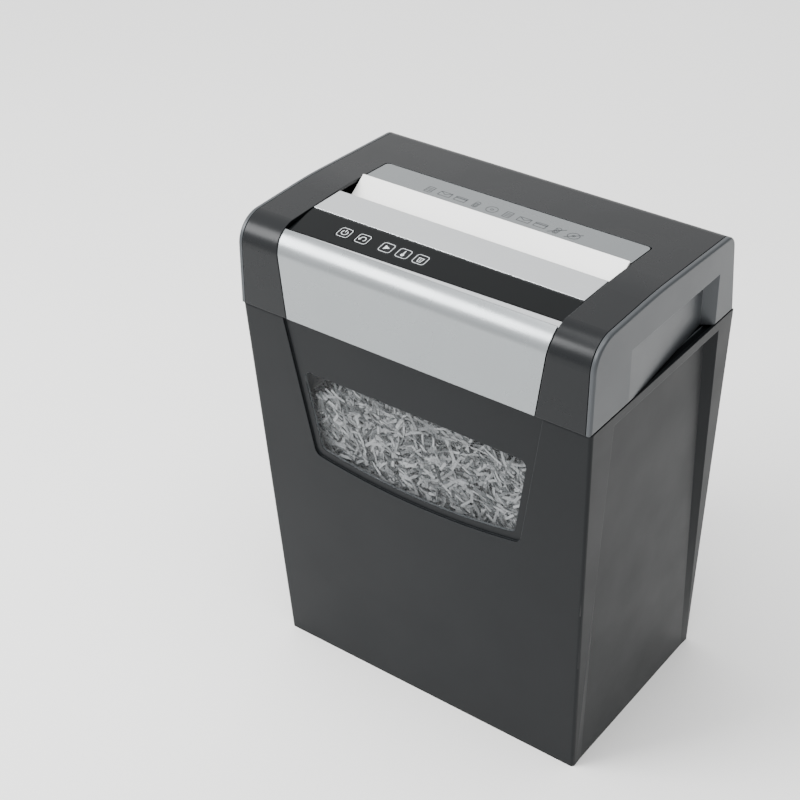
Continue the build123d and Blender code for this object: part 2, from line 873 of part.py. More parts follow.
def skirt_outline(inset):
    """Plan of the skirt: full width at the four corner blocks, drawn in between them."""
    half = skirt_half_width - inset
    mid = half - skirt_side_inset
    front = skirt_front_y + inset
    back = skirt_back_y - inset
    block_end = recess_start_y(skirt_bottom_z, bin_wall) - skirt_block_gap - inset
    block_start = recess_end_y(skirt_bottom_z, bin_wall) + skirt_block_gap + inset
    right = (
        (0, front),
        (half, front),
        (half, block_end),
        (mid, block_end + skirt_block_ramp),
        (mid, block_start - skirt_block_ramp),
        (half, block_start),
        (half, back),
        (0, back),
    )
    with BuildSketch(Plane.XY.offset(skirt_bottom_z)) as outline:
        with BuildLine():
            Polyline(*right)
            mirror(about=Plane.YZ)
        make_face()
    return outline.sketch


def shell_floor_outline():
    """The opening at the foot of the upper shell, where the housing's flange sits."""
    with BuildSketch(Plane.XY.offset(skirt_top_z)) as outline:
        with Locations((0, (flange_front_y + flange_back_y) / 2)):
            Rectangle(2 * (hoop_half_width - lap_gap), flange_back_y - flange_front_y)
    return outline.sketch


notch_places = (skirt_notch_left_x, skirt_notch_mid_x)
with BuildPart() as lower_housing:
    extrude(skirt_outline(0), amount=skirt_top_z - skirt_bottom_z)
    extrude(shell_floor_outline(), amount=-flange_thickness)
    add(
        extrude(
            skirt_outline(skirt_wall).moved(Location((0, 0, skirt_wall))),
            amount=skirt_top_z - skirt_bottom_z,
            mode=Mode.PRIVATE,
        ),
        mode=Mode.SUBTRACT,
    )
    with BuildSketch(Plane.XY.offset(skirt_bottom_z)):
        with Locations((0, (outlet_front_y + outlet_back_y) / 2)):
            Rectangle(2 * outlet_half_width, outlet_back_y - outlet_front_y)
    extrude(amount=skirt_wall, mode=Mode.SUBTRACT)
    with BuildSketch(Plane.XY.offset(skirt_bottom_z)):
        with Locations(*[(x, skirt_front_y + skirt_notch_depth / 2 + skirt_wall / 2) for x in notch_places]):
            Rectangle(skirt_notch_width + 2 * skirt_wall, skirt_notch_depth + skirt_wall)
    extrude(amount=skirt_top_z - skirt_bottom_z)
    with BuildSketch(Plane.XY.offset(skirt_bottom_z)):
        with Locations(*[(x, skirt_front_y) for x in notch_places]):
            Rectangle(skirt_notch_width, 2 * skirt_notch_depth)
    extrude(amount=skirt_top_z - flange_thickness - skirt_bottom_z, mode=Mode.SUBTRACT)
    grip_clear = grip_wedge(grip_wall + grip_clearance)
    add(grip_clear, mode=Mode.SUBTRACT)
    add(grip_clear.mirror(Plane.YZ), mode=Mode.SUBTRACT)
save(lower_housing.part, "lower_housing")

# ---------------------------------------------------------------- chassis
plate_plane_right = Plane.YZ.offset(plate_inner_x)
cutter_centres = ((front_cutter_y, cutter_z), (rear_cutter_y, cutter_z))

with BuildPart() as right_side_plate:
    with BuildSketch(plate_plane_right) as plate_sketch:
        with Locations(((plate_front_y + plate_back_y) / 2, (plate_bottom_z + plate_top_z) / 2)):
            RectangleRounded(plate_back_y - plate_front_y, plate_top_z - plate_bottom_z, plate_corner)
        with Locations(*cutter_centres):
            Circle(bush_radius, mode=Mode.SUBTRACT)
        with Locations((motor_y, motor_z)):
            Circle(motor_boss_radius + boss_gap, mode=Mode.SUBTRACT)
        with Locations((idler_y, idler_z)):
            Circle(idler_pin_radius, mode=Mode.SUBTRACT)
        with Locations(*rod_places):
            Circle(screw_shank_radius, mode=Mode.SUBTRACT)
    extrude(amount=plate_thickness)
save(right_side_plate.part, "right_side_plate")

with BuildPart() as left_side_plate:
    with BuildSketch(Plane.YZ.offset(-plate_inner_x)):
        with Locations(((plate_front_y + plate_back_y) / 2, (plate_bottom_z + plate_top_z) / 2)):
            RectangleRounded(plate_back_y - plate_front_y, plate_top_z - plate_bottom_z, plate_corner)
        with Locations(*cutter_centres):
            Circle(bush_radius, mode=Mode.SUBTRACT)
        with Locations(*rod_places):
            Circle(screw_shank_radius, mode=Mode.SUBTRACT)
    extrude(amount=-plate_thickness)
save(left_side_plate.part, "left_side_plate")

with BuildPart() as tie_rods:
    with BuildSketch(Plane.YZ):
        with Locations(*rod_places):
            Circle(rod_radius)
    extrude(amount=plate_inner_x, both=True)
    with BuildSketch(Plane.YZ):
        with Locations(*rod_places):
            Circle(screw_shank_radius)
    extrude(amount=plate_inner_x, both=True, mode=Mode.SUBTRACT)
    with BuildSketch(Plane.YZ):
        with Locations(*rod_places):
            Circle(rod_radius)
    extrude(amount=plate_inner_x - chassis_screw_length, both=True)
save(tie_rods.part, "tie_rods")

with BuildPart() as chassis_screws:
    with BuildSketch(Plane.YZ.offset(plate_outer_x)):
        with Locations(*rod_places):
            Circle(screw_head_radius)
    extrude(amount=screw_head_height)
    with BuildSketch(Plane.YZ.offset(plate_outer_x)):
        with Locations(*rod_places):
            Circle(screw_shank_radius)
    extrude(amount=-chassis_screw_length)
    with BuildSketch(Plane.YZ.offset(plate_outer_x + screw_head_height)):
        with Locations(*rod_places):
            RegularPolygon(screw_shank_radius, 6)
    extrude(amount=-screw_head_height / 2, mode=Mode.SUBTRACT)
    mirror(about=Plane.YZ)
save(chassis_screws.part, "chassis_screws")

bush_start_x = plate_inner_x - bush_inset
with BuildPart() as shaft_bushes:
    with BuildSketch(Plane.YZ.offset(bush_start_x)):
        with Locations(*cutter_centres):
            Circle(bush_radius)
            Circle(journal_radius + running_clearance, mode=Mode.SUBTRACT)
    extrude(amount=bush_length)
    mirror(about=Plane.YZ)
save(shaft_bushes.part, "shaft_bushes")

# ---------------------------------------------------------------- cutters
core_half_length = plate_inner_x - core_end_gap
first_disc_x = -disc_pitch * (disc_count - 1) / 2


def cutter(centre_y, shift, turn, journal_end, name):
    """A shaft with toothed discs; the other cutter's discs run in its gaps."""
    with BuildPart() as body:
        with BuildSketch(Plane.YZ):
            with Locations((centre_y, cutter_z)):
                Circle(core_radius)
        extrude(amount=core_half_length, both=True)
        with BuildSketch(Plane.YZ.offset(-plate_outer_x - bush_length)):
            with Locations((centre_y, cutter_z)):
                Circle(journal_radius)
        extrude(amount=plate_outer_x + bush_length + journal_end)
        for index in range(disc_count):
            disc_x = first_disc_x + index * disc_pitch + shift
            with BuildSketch(Plane.YZ.offset(disc_x - disc_width / 2)):
                with Locations(Location((centre_y, cutter_z), turn * index * tooth_stagger)):
                    Circle(disc_radius)
                    with PolarLocations(disc_radius, disc_teeth):
                        Rectangle(2 * tooth_depth, tooth_depth, rotation=tooth_rake, mode=Mode.SUBTRACT)
            extrude(amount=disc_width)
    save(body.part, name)


train_end_x = train_x + train_width
cutter(front_cutter_y, -disc_pitch / 4, 1, sync_x + sync_width, "front_cutter")
cutter(rear_cutter_y, disc_pitch / 4, -1, train_end_x, "rear_cutter")


def comb(centre_y, side, shift, name):
    """Fingers from a bar outside a cutter into the gaps between its discs."""
    bar_near_y = centre_y + side * (disc_radius + comb_disc_gap)
    bar_mid_y = bar_near_y + side * comb_bar_thickness / 2
    finger_length = disc_radius + comb_disc_gap
    first_gap_x = first_disc_x + disc_pitch / 2 + shift
    gap_places = [first_gap_x + index * disc_pitch for index in range(disc_count - 1)]
    with BuildPart() as body:
        with BuildSketch(Plane.XY.offset(cutter_z - comb_height / 2)):
            with Locations((0, bar_mid_y)):
                Rectangle(2 * plate_inner_x, comb_bar_thickness)
            with Locations(*[(x, centre_y + side * finger_length / 2) for x in gap_places]):
                Rectangle(comb_finger_width, finger_length)
        extrude(amount=comb_height)
        with BuildSketch(Plane.YZ):
            with Locations((centre_y, cutter_z)):
                Circle(core_radius + comb_core_gap)
        extrude(amount=plate_inner_x, both=True, mode=Mode.SUBTRACT)
        with Locations((0, centre_y - side * disc_radius / 2, cutter_z)):
            Box(3 * plate_inner_x, disc_radius + comb_disc_gap, 2 * comb_height, mode=Mode.SUBTRACT)
    save(body.part, name)


comb(front_cutter_y, -1, -disc_pitch / 4, "front_stripper_comb")
comb(rear_cutter_y, 1, disc_pitch / 4, "rear_stripper_comb")


# ---------------------------------------------------------------- gears
def involute(angle):
    return tan(angle) - angle


def gear_points(place, module, teeth, turn_degrees):
    """Corner points of an involute gear, one tooth centred on the turn angle."""
    centre_y, centre_z = place
    pitch_r = module * teeth / 2
    base_r = pitch_r * cos(radians(pressure_angle))
    tip_r = pitch_r + addendum * module
    root_r = pitch_r - dedendum * module
    half_at_pitch = pi / (2 * teeth) - gear_backlash / (4 * pitch_r)
    flank_start = max(base_r, root_r)
    radii = [flank_start + (tip_r - flank_start) * step / 4 for step in range(5)]
    halves = [half_at_pitch + involute(radians(pressure_angle)) - involute(acos(base_r / r)) for r in radii]
    one_side = [(root_r, halves[0])] + list(zip(radii, halves))
    points = []
    for tooth in range(teeth):
        middle = radians(turn_degrees) + 2 * pi * tooth / teeth
        points += [(r, middle - half) for r, half in one_side]
        points += [(r, middle + half) for r, half in reversed(one_side)]
    return [(centre_y + r * cos(angle), centre_z + r * sin(angle)) for r, angle in points]


def gear(place, x, width, module, teeth, turn, bore, hub, name):
    """A spur gear on an X axis, with its web thinned between hub and rim."""
    rim_inner = module * teeth / 2 - dedendum * module - gear_rim_thickness
    with BuildPart() as body:
        with BuildSketch(Plane.YZ.offset(x)):
            with BuildLine():
                Polyline(*gear_points(place, module, teeth, turn), close=True)
            make_face()
            with Locations(place):
                Circle(bore, mode=Mode.SUBTRACT)
        extrude(amount=width)
        if rim_inner > hub + gear_web_room:
            with BuildSketch(Plane.YZ.offset(x + width)):
                with Locations(place):
                    Circle(rim_inner)
                    Circle(hub, mode=Mode.SUBTRACT)
            extrude(amount=-width / 3, mode=Mode.SUBTRACT)
    save(body.part, name)


sync_half_pitch = 180 / sync_teeth
idler_half_pitch = 180 / idler_teeth
gear(
    (front_cutter_y, cutter_z), sync_x, sync_width, sync_module, sync_teeth,
    0, journal_radius, sync_hub_radius, "front_sync_gear",
)
gear(
    (rear_cutter_y, cutter_z), sync_x, sync_width, sync_module, sync_teeth,
    180 + sync_half_pitch, journal_radius, sync_hub_radius, "rear_sync_gear",
)
gear(
    (rear_cutter_y, cutter_z), train_x, train_width, train_module, drive_teeth,
    train_angle, journal_radius, drive_hub_radius, "drive_gear",
)
gear(
    (idler_y, idler_z), train_x, train_width, train_module, idler_teeth,
    train_angle + 180 + idler_half_pitch, idler_pin_radius + running_clearance, small_hub_radius, "idler_gear",
)
gear(
    (motor_y, motor_z), train_x, train_width, train_module, pinion_teeth,
    train_angle + 180, pinion_shaft_radius, small_hub_radius, "drive_pinion",
)

# ---------------------------------------------------------------- motor, axle and shaft
motor_centre = (motor_y, motor_z)
gearbox_start_x = plate_inner_x - gearbox_length
with BuildPart() as gearbox_case:
    with BuildSketch(Plane.YZ.offset(gearbox_start_x)):
        with Locations(motor_centre):
            Circle(gearbox_radius)
    extrude(amount=gearbox_length)
    rounded = gearbox_case.faces().sort_by(Axis.X)[0].edges()
    fillet(rounded, gearbox_round)
    with BuildSketch(Plane.YZ.offset(plate_inner_x)):
        with Locations(motor_centre):
            Circle(motor_boss_radius)
    extrude(amount=motor_boss_length)
    with BuildSketch(Plane.YZ.offset(plate_inner_x + motor_boss_length)):
        with Locations(motor_centre):
            Circle(pinion_shaft_radius + running_clearance)
    extrude(amount=-motor_boss_length - gearbox_length / 2, mode=Mode.SUBTRACT)
save(gearbox_case.part, "gearbox_case")

motor_start_x = gearbox_start_x - motor_length
with BuildPart() as motor_body:
    with BuildSketch(Plane.YZ.offset(motor_start_x)):
        with Locations(motor_centre):
            Circle(motor_radius)
    extrude(amount=motor_length)
    fillet(motor_body.faces().sort_by(Axis.X)[0].edges(), motor_round)
    with BuildSketch(Plane.YZ.offset(motor_start_x)):
        with Locations(motor_centre):
            Circle(motor_end_radius)
    extrude(amount=-motor_end_length)
    with BuildSketch(Plane.YZ.offset(motor_start_x + motor_slot_start)):
        with Locations(motor_centre):
            with PolarLocations(motor_radius, motor_slot_count):
                Rectangle(motor_slot_depth, motor_slot_width)
    extrude(amount=motor_length * motor_slot_share, mode=Mode.SUBTRACT)
save(motor_body.part, "motor_body")

shaft_start_x = plate_inner_x - gearbox_length / 2 + shaft_end_gap
with BuildPart() as output_shaft:
    with BuildSketch(Plane.YZ.offset(shaft_start_x)):
        with Locations(motor_centre):
            Circle(pinion_shaft_radius)
    extrude(amount=train_end_x - shaft_start_x)
save(output_shaft.part, "output_shaft")

idler_centre = (idler_y, idler_z)
with BuildPart() as idler_axle:
    with BuildSketch(Plane.YZ.offset(plate_inner_x)):
        with Locations(idler_centre):
            Circle(idler_pin_radius)
    extrude(amount=train_end_x + idler_pin_reach - plate_inner_x)
    with BuildSketch(Plane.YZ.offset(plate_outer_x)):
        with Locations(idler_centre):
            Circle(idler_pin_radius + idler_shoulder)
    extrude(amount=train_x - plate_outer_x - idler_side_gap)
save(idler_axle.part, "idler_axle")

with BuildPart() as idler_clip:
    with BuildSketch(Plane.YZ.offset(train_end_x + idler_side_gap)):
        with Locations(idler_centre):
            Circle(idler_pin_radius + clip_reach)
            Circle(idler_pin_radius, mode=Mode.SUBTRACT)
            with Locations((0, idler_pin_radius + clip_reach / 2)):
                Rectangle(clip_mouth_width, 2 * clip_reach, mode=Mode.SUBTRACT)
    extrude(amount=clip_thickness)
save(idler_clip.part, "idler_clip")

# ---------------------------------------------------------------- electrics in the housing floor
housing_floor_z = skirt_bottom_z + skirt_wall
power_board_z = housing_floor_z + power_board_rise
board_corner_places = [
    (power_board_centre[0] + side_x * (power_board_size[0] / 2 - power_leg_inset),
     power_board_centre[1] + side_y * (power_board_size[1] / 2 - power_leg_inset))
    for side_x in (-1, 1)
    for side_y in (-1, 1)
]
with BuildPart() as power_board:
    with BuildSketch(Plane.XY.offset(power_board_z)):
        with Locations(power_board_centre):
            RectangleRounded(*power_board_size, power_board_corner)
    extrude(amount=board_thickness)
save(power_board.part, "power_board")

with BuildPart() as power_board_spacers:
    with BuildSketch(Plane.XY.offset(housing_floor_z)):
        with Locations(*board_corner_places):
            Circle(power_leg_radius)
    extrude(amount=power_board_z - housing_floor_z)
save(power_board_spacers.part, "power_board_spacers")

board_top_z = power_board_z + board_thickness
with BuildPart() as power_board_parts:
    with BuildSketch(Plane.XY.offset(board_top_z)):
        with Locations(relay_place):
            RectangleRounded(*relay_size, relay_corner)
    extrude(amount=relay_height)
    with BuildSketch(Plane.XY.offset(board_top_z)):
        with Locations(*capacitor_places):
            Circle(capacitor_radius)
    extrude(amount=capacitor_height)
    with BuildSketch(Plane.XY.offset(board_top_z)):
        with Locations(fuse_place):
            RectangleRounded(*fuse_size, fuse_corner)
    extrude(amount=fuse_height)
save(power_board_parts.part, "power_board_parts")

with BuildPart() as interlock_switch:
    with BuildSketch(Plane.XY.offset(housing_floor_z)):
        with Locations(interlock_place):
            Rectangle(*interlock_size)
    extrude(amount=interlock_height)
save(interlock_switch.part, "interlock_switch")

# ---------------------------------------------------------------- rear inlet and fixings
with BuildPart() as cord_gland:
    with BuildSketch(gland_axis):
        Circle(gland_flange_radius)
    extrude(amount=gland_proud - lap_gap)
    with BuildSketch(gland_axis):
        Circle(gland_body_radius - lap_gap)
    extrude(amount=gland_length)
    with BuildSketch(gland_axis):
        Circle(gland_bore_radius)
    extrude(amount=gland_length, mode=Mode.SUBTRACT)
save(cord_gland.part, "cord_gland")

screw_rows = (skirt_front_y + screw_inset, skirt_back_y - screw_inset)
screw_places = [(side * screw_half_span, y) for side in (-1, 1) for y in screw_rows]
with BuildPart() as housing_screws:
    with BuildSketch(Plane.XY.offset(housing_floor_z)):
        with Locations(*screw_places):
            Circle(screw_head_radius)
    extrude(amount=screw_head_height)
    with BuildSketch(Plane.XY.offset(housing_floor_z + screw_head_height)):
        with Locations(*screw_places):
            RegularPolygon(screw_shank_radius, 6)
    extrude(amount=-screw_head_height / 2, mode=Mode.SUBTRACT)
save(housing_screws.part, "housing_screws")
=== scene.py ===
import bpy
import bmesh
import math
import random
from mathutils import Matrix, Vector


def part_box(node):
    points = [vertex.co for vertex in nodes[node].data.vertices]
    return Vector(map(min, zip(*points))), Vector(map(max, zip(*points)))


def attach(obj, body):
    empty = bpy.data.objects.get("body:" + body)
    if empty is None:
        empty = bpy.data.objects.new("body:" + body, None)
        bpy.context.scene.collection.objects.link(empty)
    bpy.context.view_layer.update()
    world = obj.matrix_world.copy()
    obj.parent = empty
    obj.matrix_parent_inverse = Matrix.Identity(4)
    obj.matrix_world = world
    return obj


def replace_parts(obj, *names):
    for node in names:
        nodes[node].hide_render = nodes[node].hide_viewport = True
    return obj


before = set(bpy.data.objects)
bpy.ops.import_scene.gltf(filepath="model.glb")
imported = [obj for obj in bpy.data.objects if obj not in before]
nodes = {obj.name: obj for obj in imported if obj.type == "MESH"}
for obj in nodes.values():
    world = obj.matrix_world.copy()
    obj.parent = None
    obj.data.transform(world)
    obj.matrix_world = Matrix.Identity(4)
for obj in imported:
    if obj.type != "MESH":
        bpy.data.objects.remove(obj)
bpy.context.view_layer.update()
scene = bpy.context.scene
mm = 0.001
print("frame loaded:", len(nodes), "nodes")


# ---- small helpers ----

def toLinear(hexColour):
    channels = [int(hexColour[i:i + 2], 16) / 255 for i in (1, 3, 5)]
    return [c / 12.92 if c <= 0.04045 else ((c + 0.055) / 1.055) ** 2.4 for c in channels] + [1.0]


def addNode(tree, kind, settings=None, links=None):
    node = tree.nodes.new(kind)
    for key, value in (settings or {}).items():
        if key in node.inputs:
            node.inputs[key].default_value = value
        else:
            setattr(node, key, value)
    for key, source in (links or {}).items():
        tree.links.new(source, node.inputs[key])
    return node


def newMaterial(name):
    material = bpy.data.materials.new(name)
    material.use_nodes = True
    tree = material.node_tree
    shader = tree.nodes["Principled BSDF"]
    place = addNode(tree, "ShaderNodeTexCoord").outputs["Object"]
    return material, tree, shader, place


def perMm(size):
    return 1000.0 / size  # noise scale whose features are about this many millimetres


def setColour(tree, place, colour, mottle, depth):
    # a little broad unevenness, as moulded and painted parts have
    noise = addNode(tree, "ShaderNodeTexNoise", {"Scale": perMm(mottle), "Detail": 3.0}, {"Vector": place})
    base = toLinear(colour)
    ramp = addNode(tree, "ShaderNodeValToRGB", {}, {"Fac": noise.outputs["Fac"]})
    ramp.color_ramp.elements[0].position = 0.3
    ramp.color_ramp.elements[1].position = 0.7
    ramp.color_ramp.elements[0].color = [c * (1 - depth) for c in base[:3]] + [1]
    ramp.color_ramp.elements[1].color = [min(1, c * (1 + depth)) for c in base[:3]] + [1]
    return ramp.outputs["Color"]


def paintedEdgeHighlight(tree, colour, highlightColour, width, amount):
    # painted highlight: edges are painted a shade paler; the rounded normal differs from the true one only
    # there
    rounded = addNode(tree, "ShaderNodeBevel", {"Radius": width * mm, "samples": 4})
    geometry = addNode(tree, "ShaderNodeNewGeometry")
    dot = addNode(tree, "ShaderNodeVectorMath", {"operation": "DOT_PRODUCT"})
    tree.links.new(rounded.outputs["Normal"], dot.inputs[0])
    tree.links.new(geometry.outputs["Normal"], dot.inputs[1])
    edge = addNode(tree, "ShaderNodeMapRange", {"From Min": 1.0, "From Max": 0.75, "To Max": amount},
                   {"Value": dot.outputs["Value"]})
    mix = addNode(tree, "ShaderNodeMix", {"data_type": "RGBA"})
    tree.links.new(edge.outputs["Result"], mix.inputs["Factor"])
    tree.links.new(colour, mix.inputs[6])
    mix.inputs[7].default_value = toLinear(highlightColour)
    return mix.outputs[2], rounded.outputs["Normal"]


def grainBump(tree, place, grain, height, normal):
    noise = addNode(tree, "ShaderNodeTexNoise", {"Scale": perMm(grain), "Detail": 2.0, "Roughness": 0.6},
                    {"Vector": place})
    bump = addNode(tree, "ShaderNodeBump", {"Strength": 0.35, "Distance": height * mm},
                   {"Height": noise.outputs["Fac"]})
    if normal:
        tree.links.new(normal, bump.inputs["Normal"])
    return bump.outputs["Normal"]


def unevenGloss(tree, shader, place, low, high, patch):
    # handling and moulding leave the gloss a little uneven
    noise = addNode(tree, "ShaderNodeTexNoise", {"Scale": perMm(patch), "Detail": 4.0}, {"Vector": place})
    spread = {"From Min": 0.3, "From Max": 0.7, "To Min": low, "To Max": high}
    gloss = addNode(tree, "ShaderNodeMapRange", spread, {"Value": noise.outputs["Fac"]})
    tree.links.new(gloss.outputs["Result"], shader.inputs["Roughness"])


def finishMaterial(settings, name):
    material, tree, shader, place = newMaterial(name)
    colour = setColour(tree, place, settings["colour"], settings["mottle"], settings["mottleDepth"])
    # the edge colour in the settings is the painted highlight along the edges
    colour, normal = paintedEdgeHighlight(tree, colour, settings["edge"], settings["edgeWidth"],
                                 settings["highlightAmount"])
    tree.links.new(colour, shader.inputs["Base Color"])
    shader.inputs["Metallic"].default_value = settings.get("metallic", 0.0)
    if "ior" in settings:
        shader.inputs["IOR"].default_value = settings["ior"]
    if "spec" in settings:  # a fine grain shadows part of its own highlight
        shader.inputs["Specular IOR Level"].default_value = settings["spec"]
    if "coat" in settings:
        shader.inputs["Coat Weight"].default_value = settings["coat"]
        shader.inputs["Coat Roughness"].default_value = settings["coatRoughness"]
    unevenGloss(tree, shader, place, settings["gloss"][0], settings["gloss"][1], settings["patch"])
    normal = grainBump(tree, place, settings["grain"], settings["grainDepth"], normal)
    tree.links.new(normal, shader.inputs["Normal"])
    return material, tree, shader, place


# ---- materials ----

def graphiteAbs():
    # ABS moulded in a fine spark grain and painted graphite: a broad soft sheen
    settings = {"colour": "#121416", "edge": "#404447", "edgeWidth": 0.8, "highlightAmount": 0.5, "mottle": 60,
                "mottleDepth": 0.03, "gloss": (0.24, 0.31), "patch": 45, "grain": 0.9, "grainDepth": 0.02,
                "metallic": 0.2, "ior": 1.53, "spec": 0.2}
    return finishMaterial(settings, "graphite painted ABS")[0]


binWalls = {
    # planes through the middle of each wall, in metres: in from the rim's outer faces at floor level,
    # then how far they lean out per metre of height
    "sideRoom": 0.0143,
    "sideLean": 0.0105,
    "frontRoom": 0.0223,
    "frontLean": 0.0526,
    "backRoom": 0.0013,
    "floorHeight": 0.0015,
}


def insideLightMask(tree, place):
    # 1 on the inner faces, which are painted paler as painted light, 0 on the painted outer ones: the walls'
    # middle planes divide them
    low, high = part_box("bin_shell")
    axes = addNode(tree, "ShaderNodeSeparateXYZ", {}, {"Vector": place}).outputs
    walls = {}
    for wall, axis, start, slope in (
            ("side", "Z", high.x - binWalls["sideRoom"], binWalls["sideLean"]),
            ("front", "Z", -low.y - binWalls["frontRoom"], binWalls["frontLean"]),
            ("back", "Y", high.y - binWalls["backRoom"], -1.0),
            ("floor", "Z", -binWalls["floorHeight"], 1.0)):
        line = addNode(tree, "ShaderNodeMapRange", {"clamp": False, "To Min": start, "To Max": start + slope},
                       {"Value": axes[axis]})
        walls[wall] = line.outputs["Result"]
    reach = addNode(tree, "ShaderNodeMath", {"operation": "ABSOLUTE"}, {0: axes["X"]}).outputs["Value"]
    side = addNode(tree, "ShaderNodeMath", {"operation": "SUBTRACT"}, {0: walls["side"], 1: reach})
    front = addNode(tree, "ShaderNodeMath", {"operation": "ADD"}, {0: walls["front"], 1: axes["Y"]})
    nearest = side.outputs["Value"]
    for distance in (front.outputs["Value"], walls["back"], walls["floor"]):
        nearest = addNode(tree, "ShaderNodeMath", {"operation": "MINIMUM"},
                          {0: nearest, 1: distance}).outputs["Value"]
    inside = addNode(tree, "ShaderNodeMath", {"operation": "GREATER_THAN"}, {0: nearest})
    inside.inputs[1].default_value = 0.0
    return inside.outputs["Value"]


def binPolypropylene():
    # polypropylene with a satin paint, duller than the head, and a paler grey on the inside as painted light,
    # standing in for the light that reaches into the bin
    settings = {"colour": "#121416", "edge": "#34383A", "edgeWidth": 0.9, "highlightAmount": 0.5, "mottle": 80,
                "mottleDepth": 0.03, "gloss": (0.34, 0.42), "patch": 60, "grain": 1.1, "grainDepth": 0.025,
                "inside": "#5A5E61", "metallic": 0.1, "ior": 1.49, "spec": 0.12}
    material, tree, shader, place = finishMaterial(settings, "satin painted polypropylene")
    outside = shader.inputs["Base Color"].links[0].from_socket
    # the paler inside colour is painted light: it stands in for the light that reaches into the bin
    inside = setColour(tree, place, settings["inside"], settings["mottle"], settings["mottleDepth"])
    mix = addNode(tree, "ShaderNodeMix", {"data_type": "RGBA"})
    tree.links.new(insideLightMask(tree, place), mix.inputs["Factor"])
    tree.links.new(outside, mix.inputs[6])
    tree.links.new(inside, mix.inputs[7])
    tree.links.new(mix.outputs[2], shader.inputs["Base Color"])
    return material


def greyAbs():
    # ABS painted dark grey, paler than the graphite: the side covers, a little metallic
    settings = {"colour": "#3A3D40", "edge": "#606466", "edgeWidth": 0.8, "highlightAmount": 0.5, "mottle": 70,
                "mottleDepth": 0.02, "gloss": (0.30, 0.37), "patch": 50, "grain": 0.9, "grainDepth": 0.02,
                "metallic": 0.2, "ior": 1.53, "spec": 0.3}
    return finishMaterial(settings, "grey painted ABS")[0]


def skirtAbs():
    # unpainted ABS in the mould's own fine grain: the plain part that sits inside the bin
    settings = {"colour": "#1D2022", "edge": "#3C4042", "edgeWidth": 0.6, "highlightAmount": 0.4, "mottle": 50,
                "mottleDepth": 0.03, "gloss": (0.38, 0.46), "patch": 40, "grain": 1.0, "grainDepth": 0.03,
                "metallic": 0.1, "ior": 1.53, "spec": 0.2}
    return finishMaterial(settings, "grained ABS")[0]


def silverPaint(colour):
    # aluminium-flake paint under clear lacquer on ABS: bright, with a soft-edged highlight
    settings = {"colour": colour, "edge": "#C3C7C9", "edgeWidth": 0.8, "highlightAmount": 0.6, "mottle": 70,
                "mottleDepth": 0.015, "gloss": (0.24, 0.30), "patch": 55, "grain": 0.7, "grainDepth": 0.012,
                "metallic": 0.9, "coat": 0.15, "coatRoughness": 0.12}
    return finishMaterial(settings, "aluminium flake paint")[0]


def glossBlack():
    # polished black acrylic: a clear reflection over a deep colour
    settings = {"colour": "#0B0D0E", "edge": "#2A2D30", "edgeWidth": 0.5, "highlightAmount": 0.4, "mottle": 40,
                "mottleDepth": 0.05, "gloss": (0.12, 0.18), "patch": 30, "grain": 6.0, "grainDepth": 0.01,
                "ior": 1.49, "spec": 0.1}
    return finishMaterial(settings, "polished black acrylic")[0]


def whiteAbs():
    # glossy white ABS: the paper guide, which catches the light from above
    settings = {"colour": "#F7F7F5", "edge": "#FFFFFF", "edgeWidth": 0.5, "highlightAmount": 0.3, "mottle": 40,
                "mottleDepth": 0.01, "gloss": (0.22, 0.28), "patch": 30, "grain": 1.0, "grainDepth": 0.01,
                "ior": 1.53, "coat": 0.3, "coatRoughness": 0.1}
    return finishMaterial(settings, "glossy white ABS")[0]


def lampLens():
    # tinted acrylic over the lamps, level with the black strip
    settings = {"colour": "#0F1113", "edge": "#2A2D30", "edgeWidth": 0.4, "highlightAmount": 0.4, "mottle": 20,
                "mottleDepth": 0.05, "gloss": (0.12, 0.17), "patch": 20, "grain": 5.0, "grainDepth": 0.008,
                "ior": 1.49, "spec": 0.12}
    return finishMaterial(settings, "tinted acrylic")[0]


def zincPlate():
    # bright zinc on mild steel: bluish, in faintly uneven patches
    settings = {"colour": "#B9BDC1", "edge": "#E2E4E6", "edgeWidth": 0.4, "highlightAmount": 0.4, "mottle": 12,
                "mottleDepth": 0.06, "gloss": (0.25, 0.38), "patch": 9, "grain": 1.5, "grainDepth": 0.02,
                "metallic": 1.0}
    return finishMaterial(settings, "zinc plated steel")[0]


def hardenedSteel():
    # oiled tool steel: darker than the plated parts, with a bright painted highlight along the edges
    settings = {"colour": "#8B8C8E", "edge": "#D5D6D8", "edgeWidth": 0.3, "highlightAmount": 0.6, "mottle": 6,
                "mottleDepth": 0.12, "gloss": (0.28, 0.42), "patch": 5, "grain": 0.8, "grainDepth": 0.02,
                "metallic": 1.0}
    return finishMaterial(settings, "hardened steel")[0]


def sinteredBronze():
    # sintered bronze: fine open pores hold the oil, so it is dull and slightly speckled
    settings = {"colour": "#9A7A46", "edge": "#C9A667", "edgeWidth": 0.3, "highlightAmount": 0.4, "mottle": 2,
                "mottleDepth": 0.15, "gloss": (0.42, 0.55), "patch": 3, "grain": 0.6, "grainDepth": 0.04,
                "metallic": 1.0}
    return finishMaterial(settings, "sintered bronze")[0]


def blackNylon():
    # glass-filled nylon: matt black with a dry, faintly fibrous skin
    settings = {"colour": "#1D1F21", "edge": "#3B3E41", "edgeWidth": 0.4, "highlightAmount": 0.4, "mottle": 10,
                "mottleDepth": 0.1, "gloss": (0.5, 0.62), "patch": 8, "grain": 0.8, "grainDepth": 0.04,
                "ior": 1.53}
    return finishMaterial(settings, "glass-filled nylon")[0]


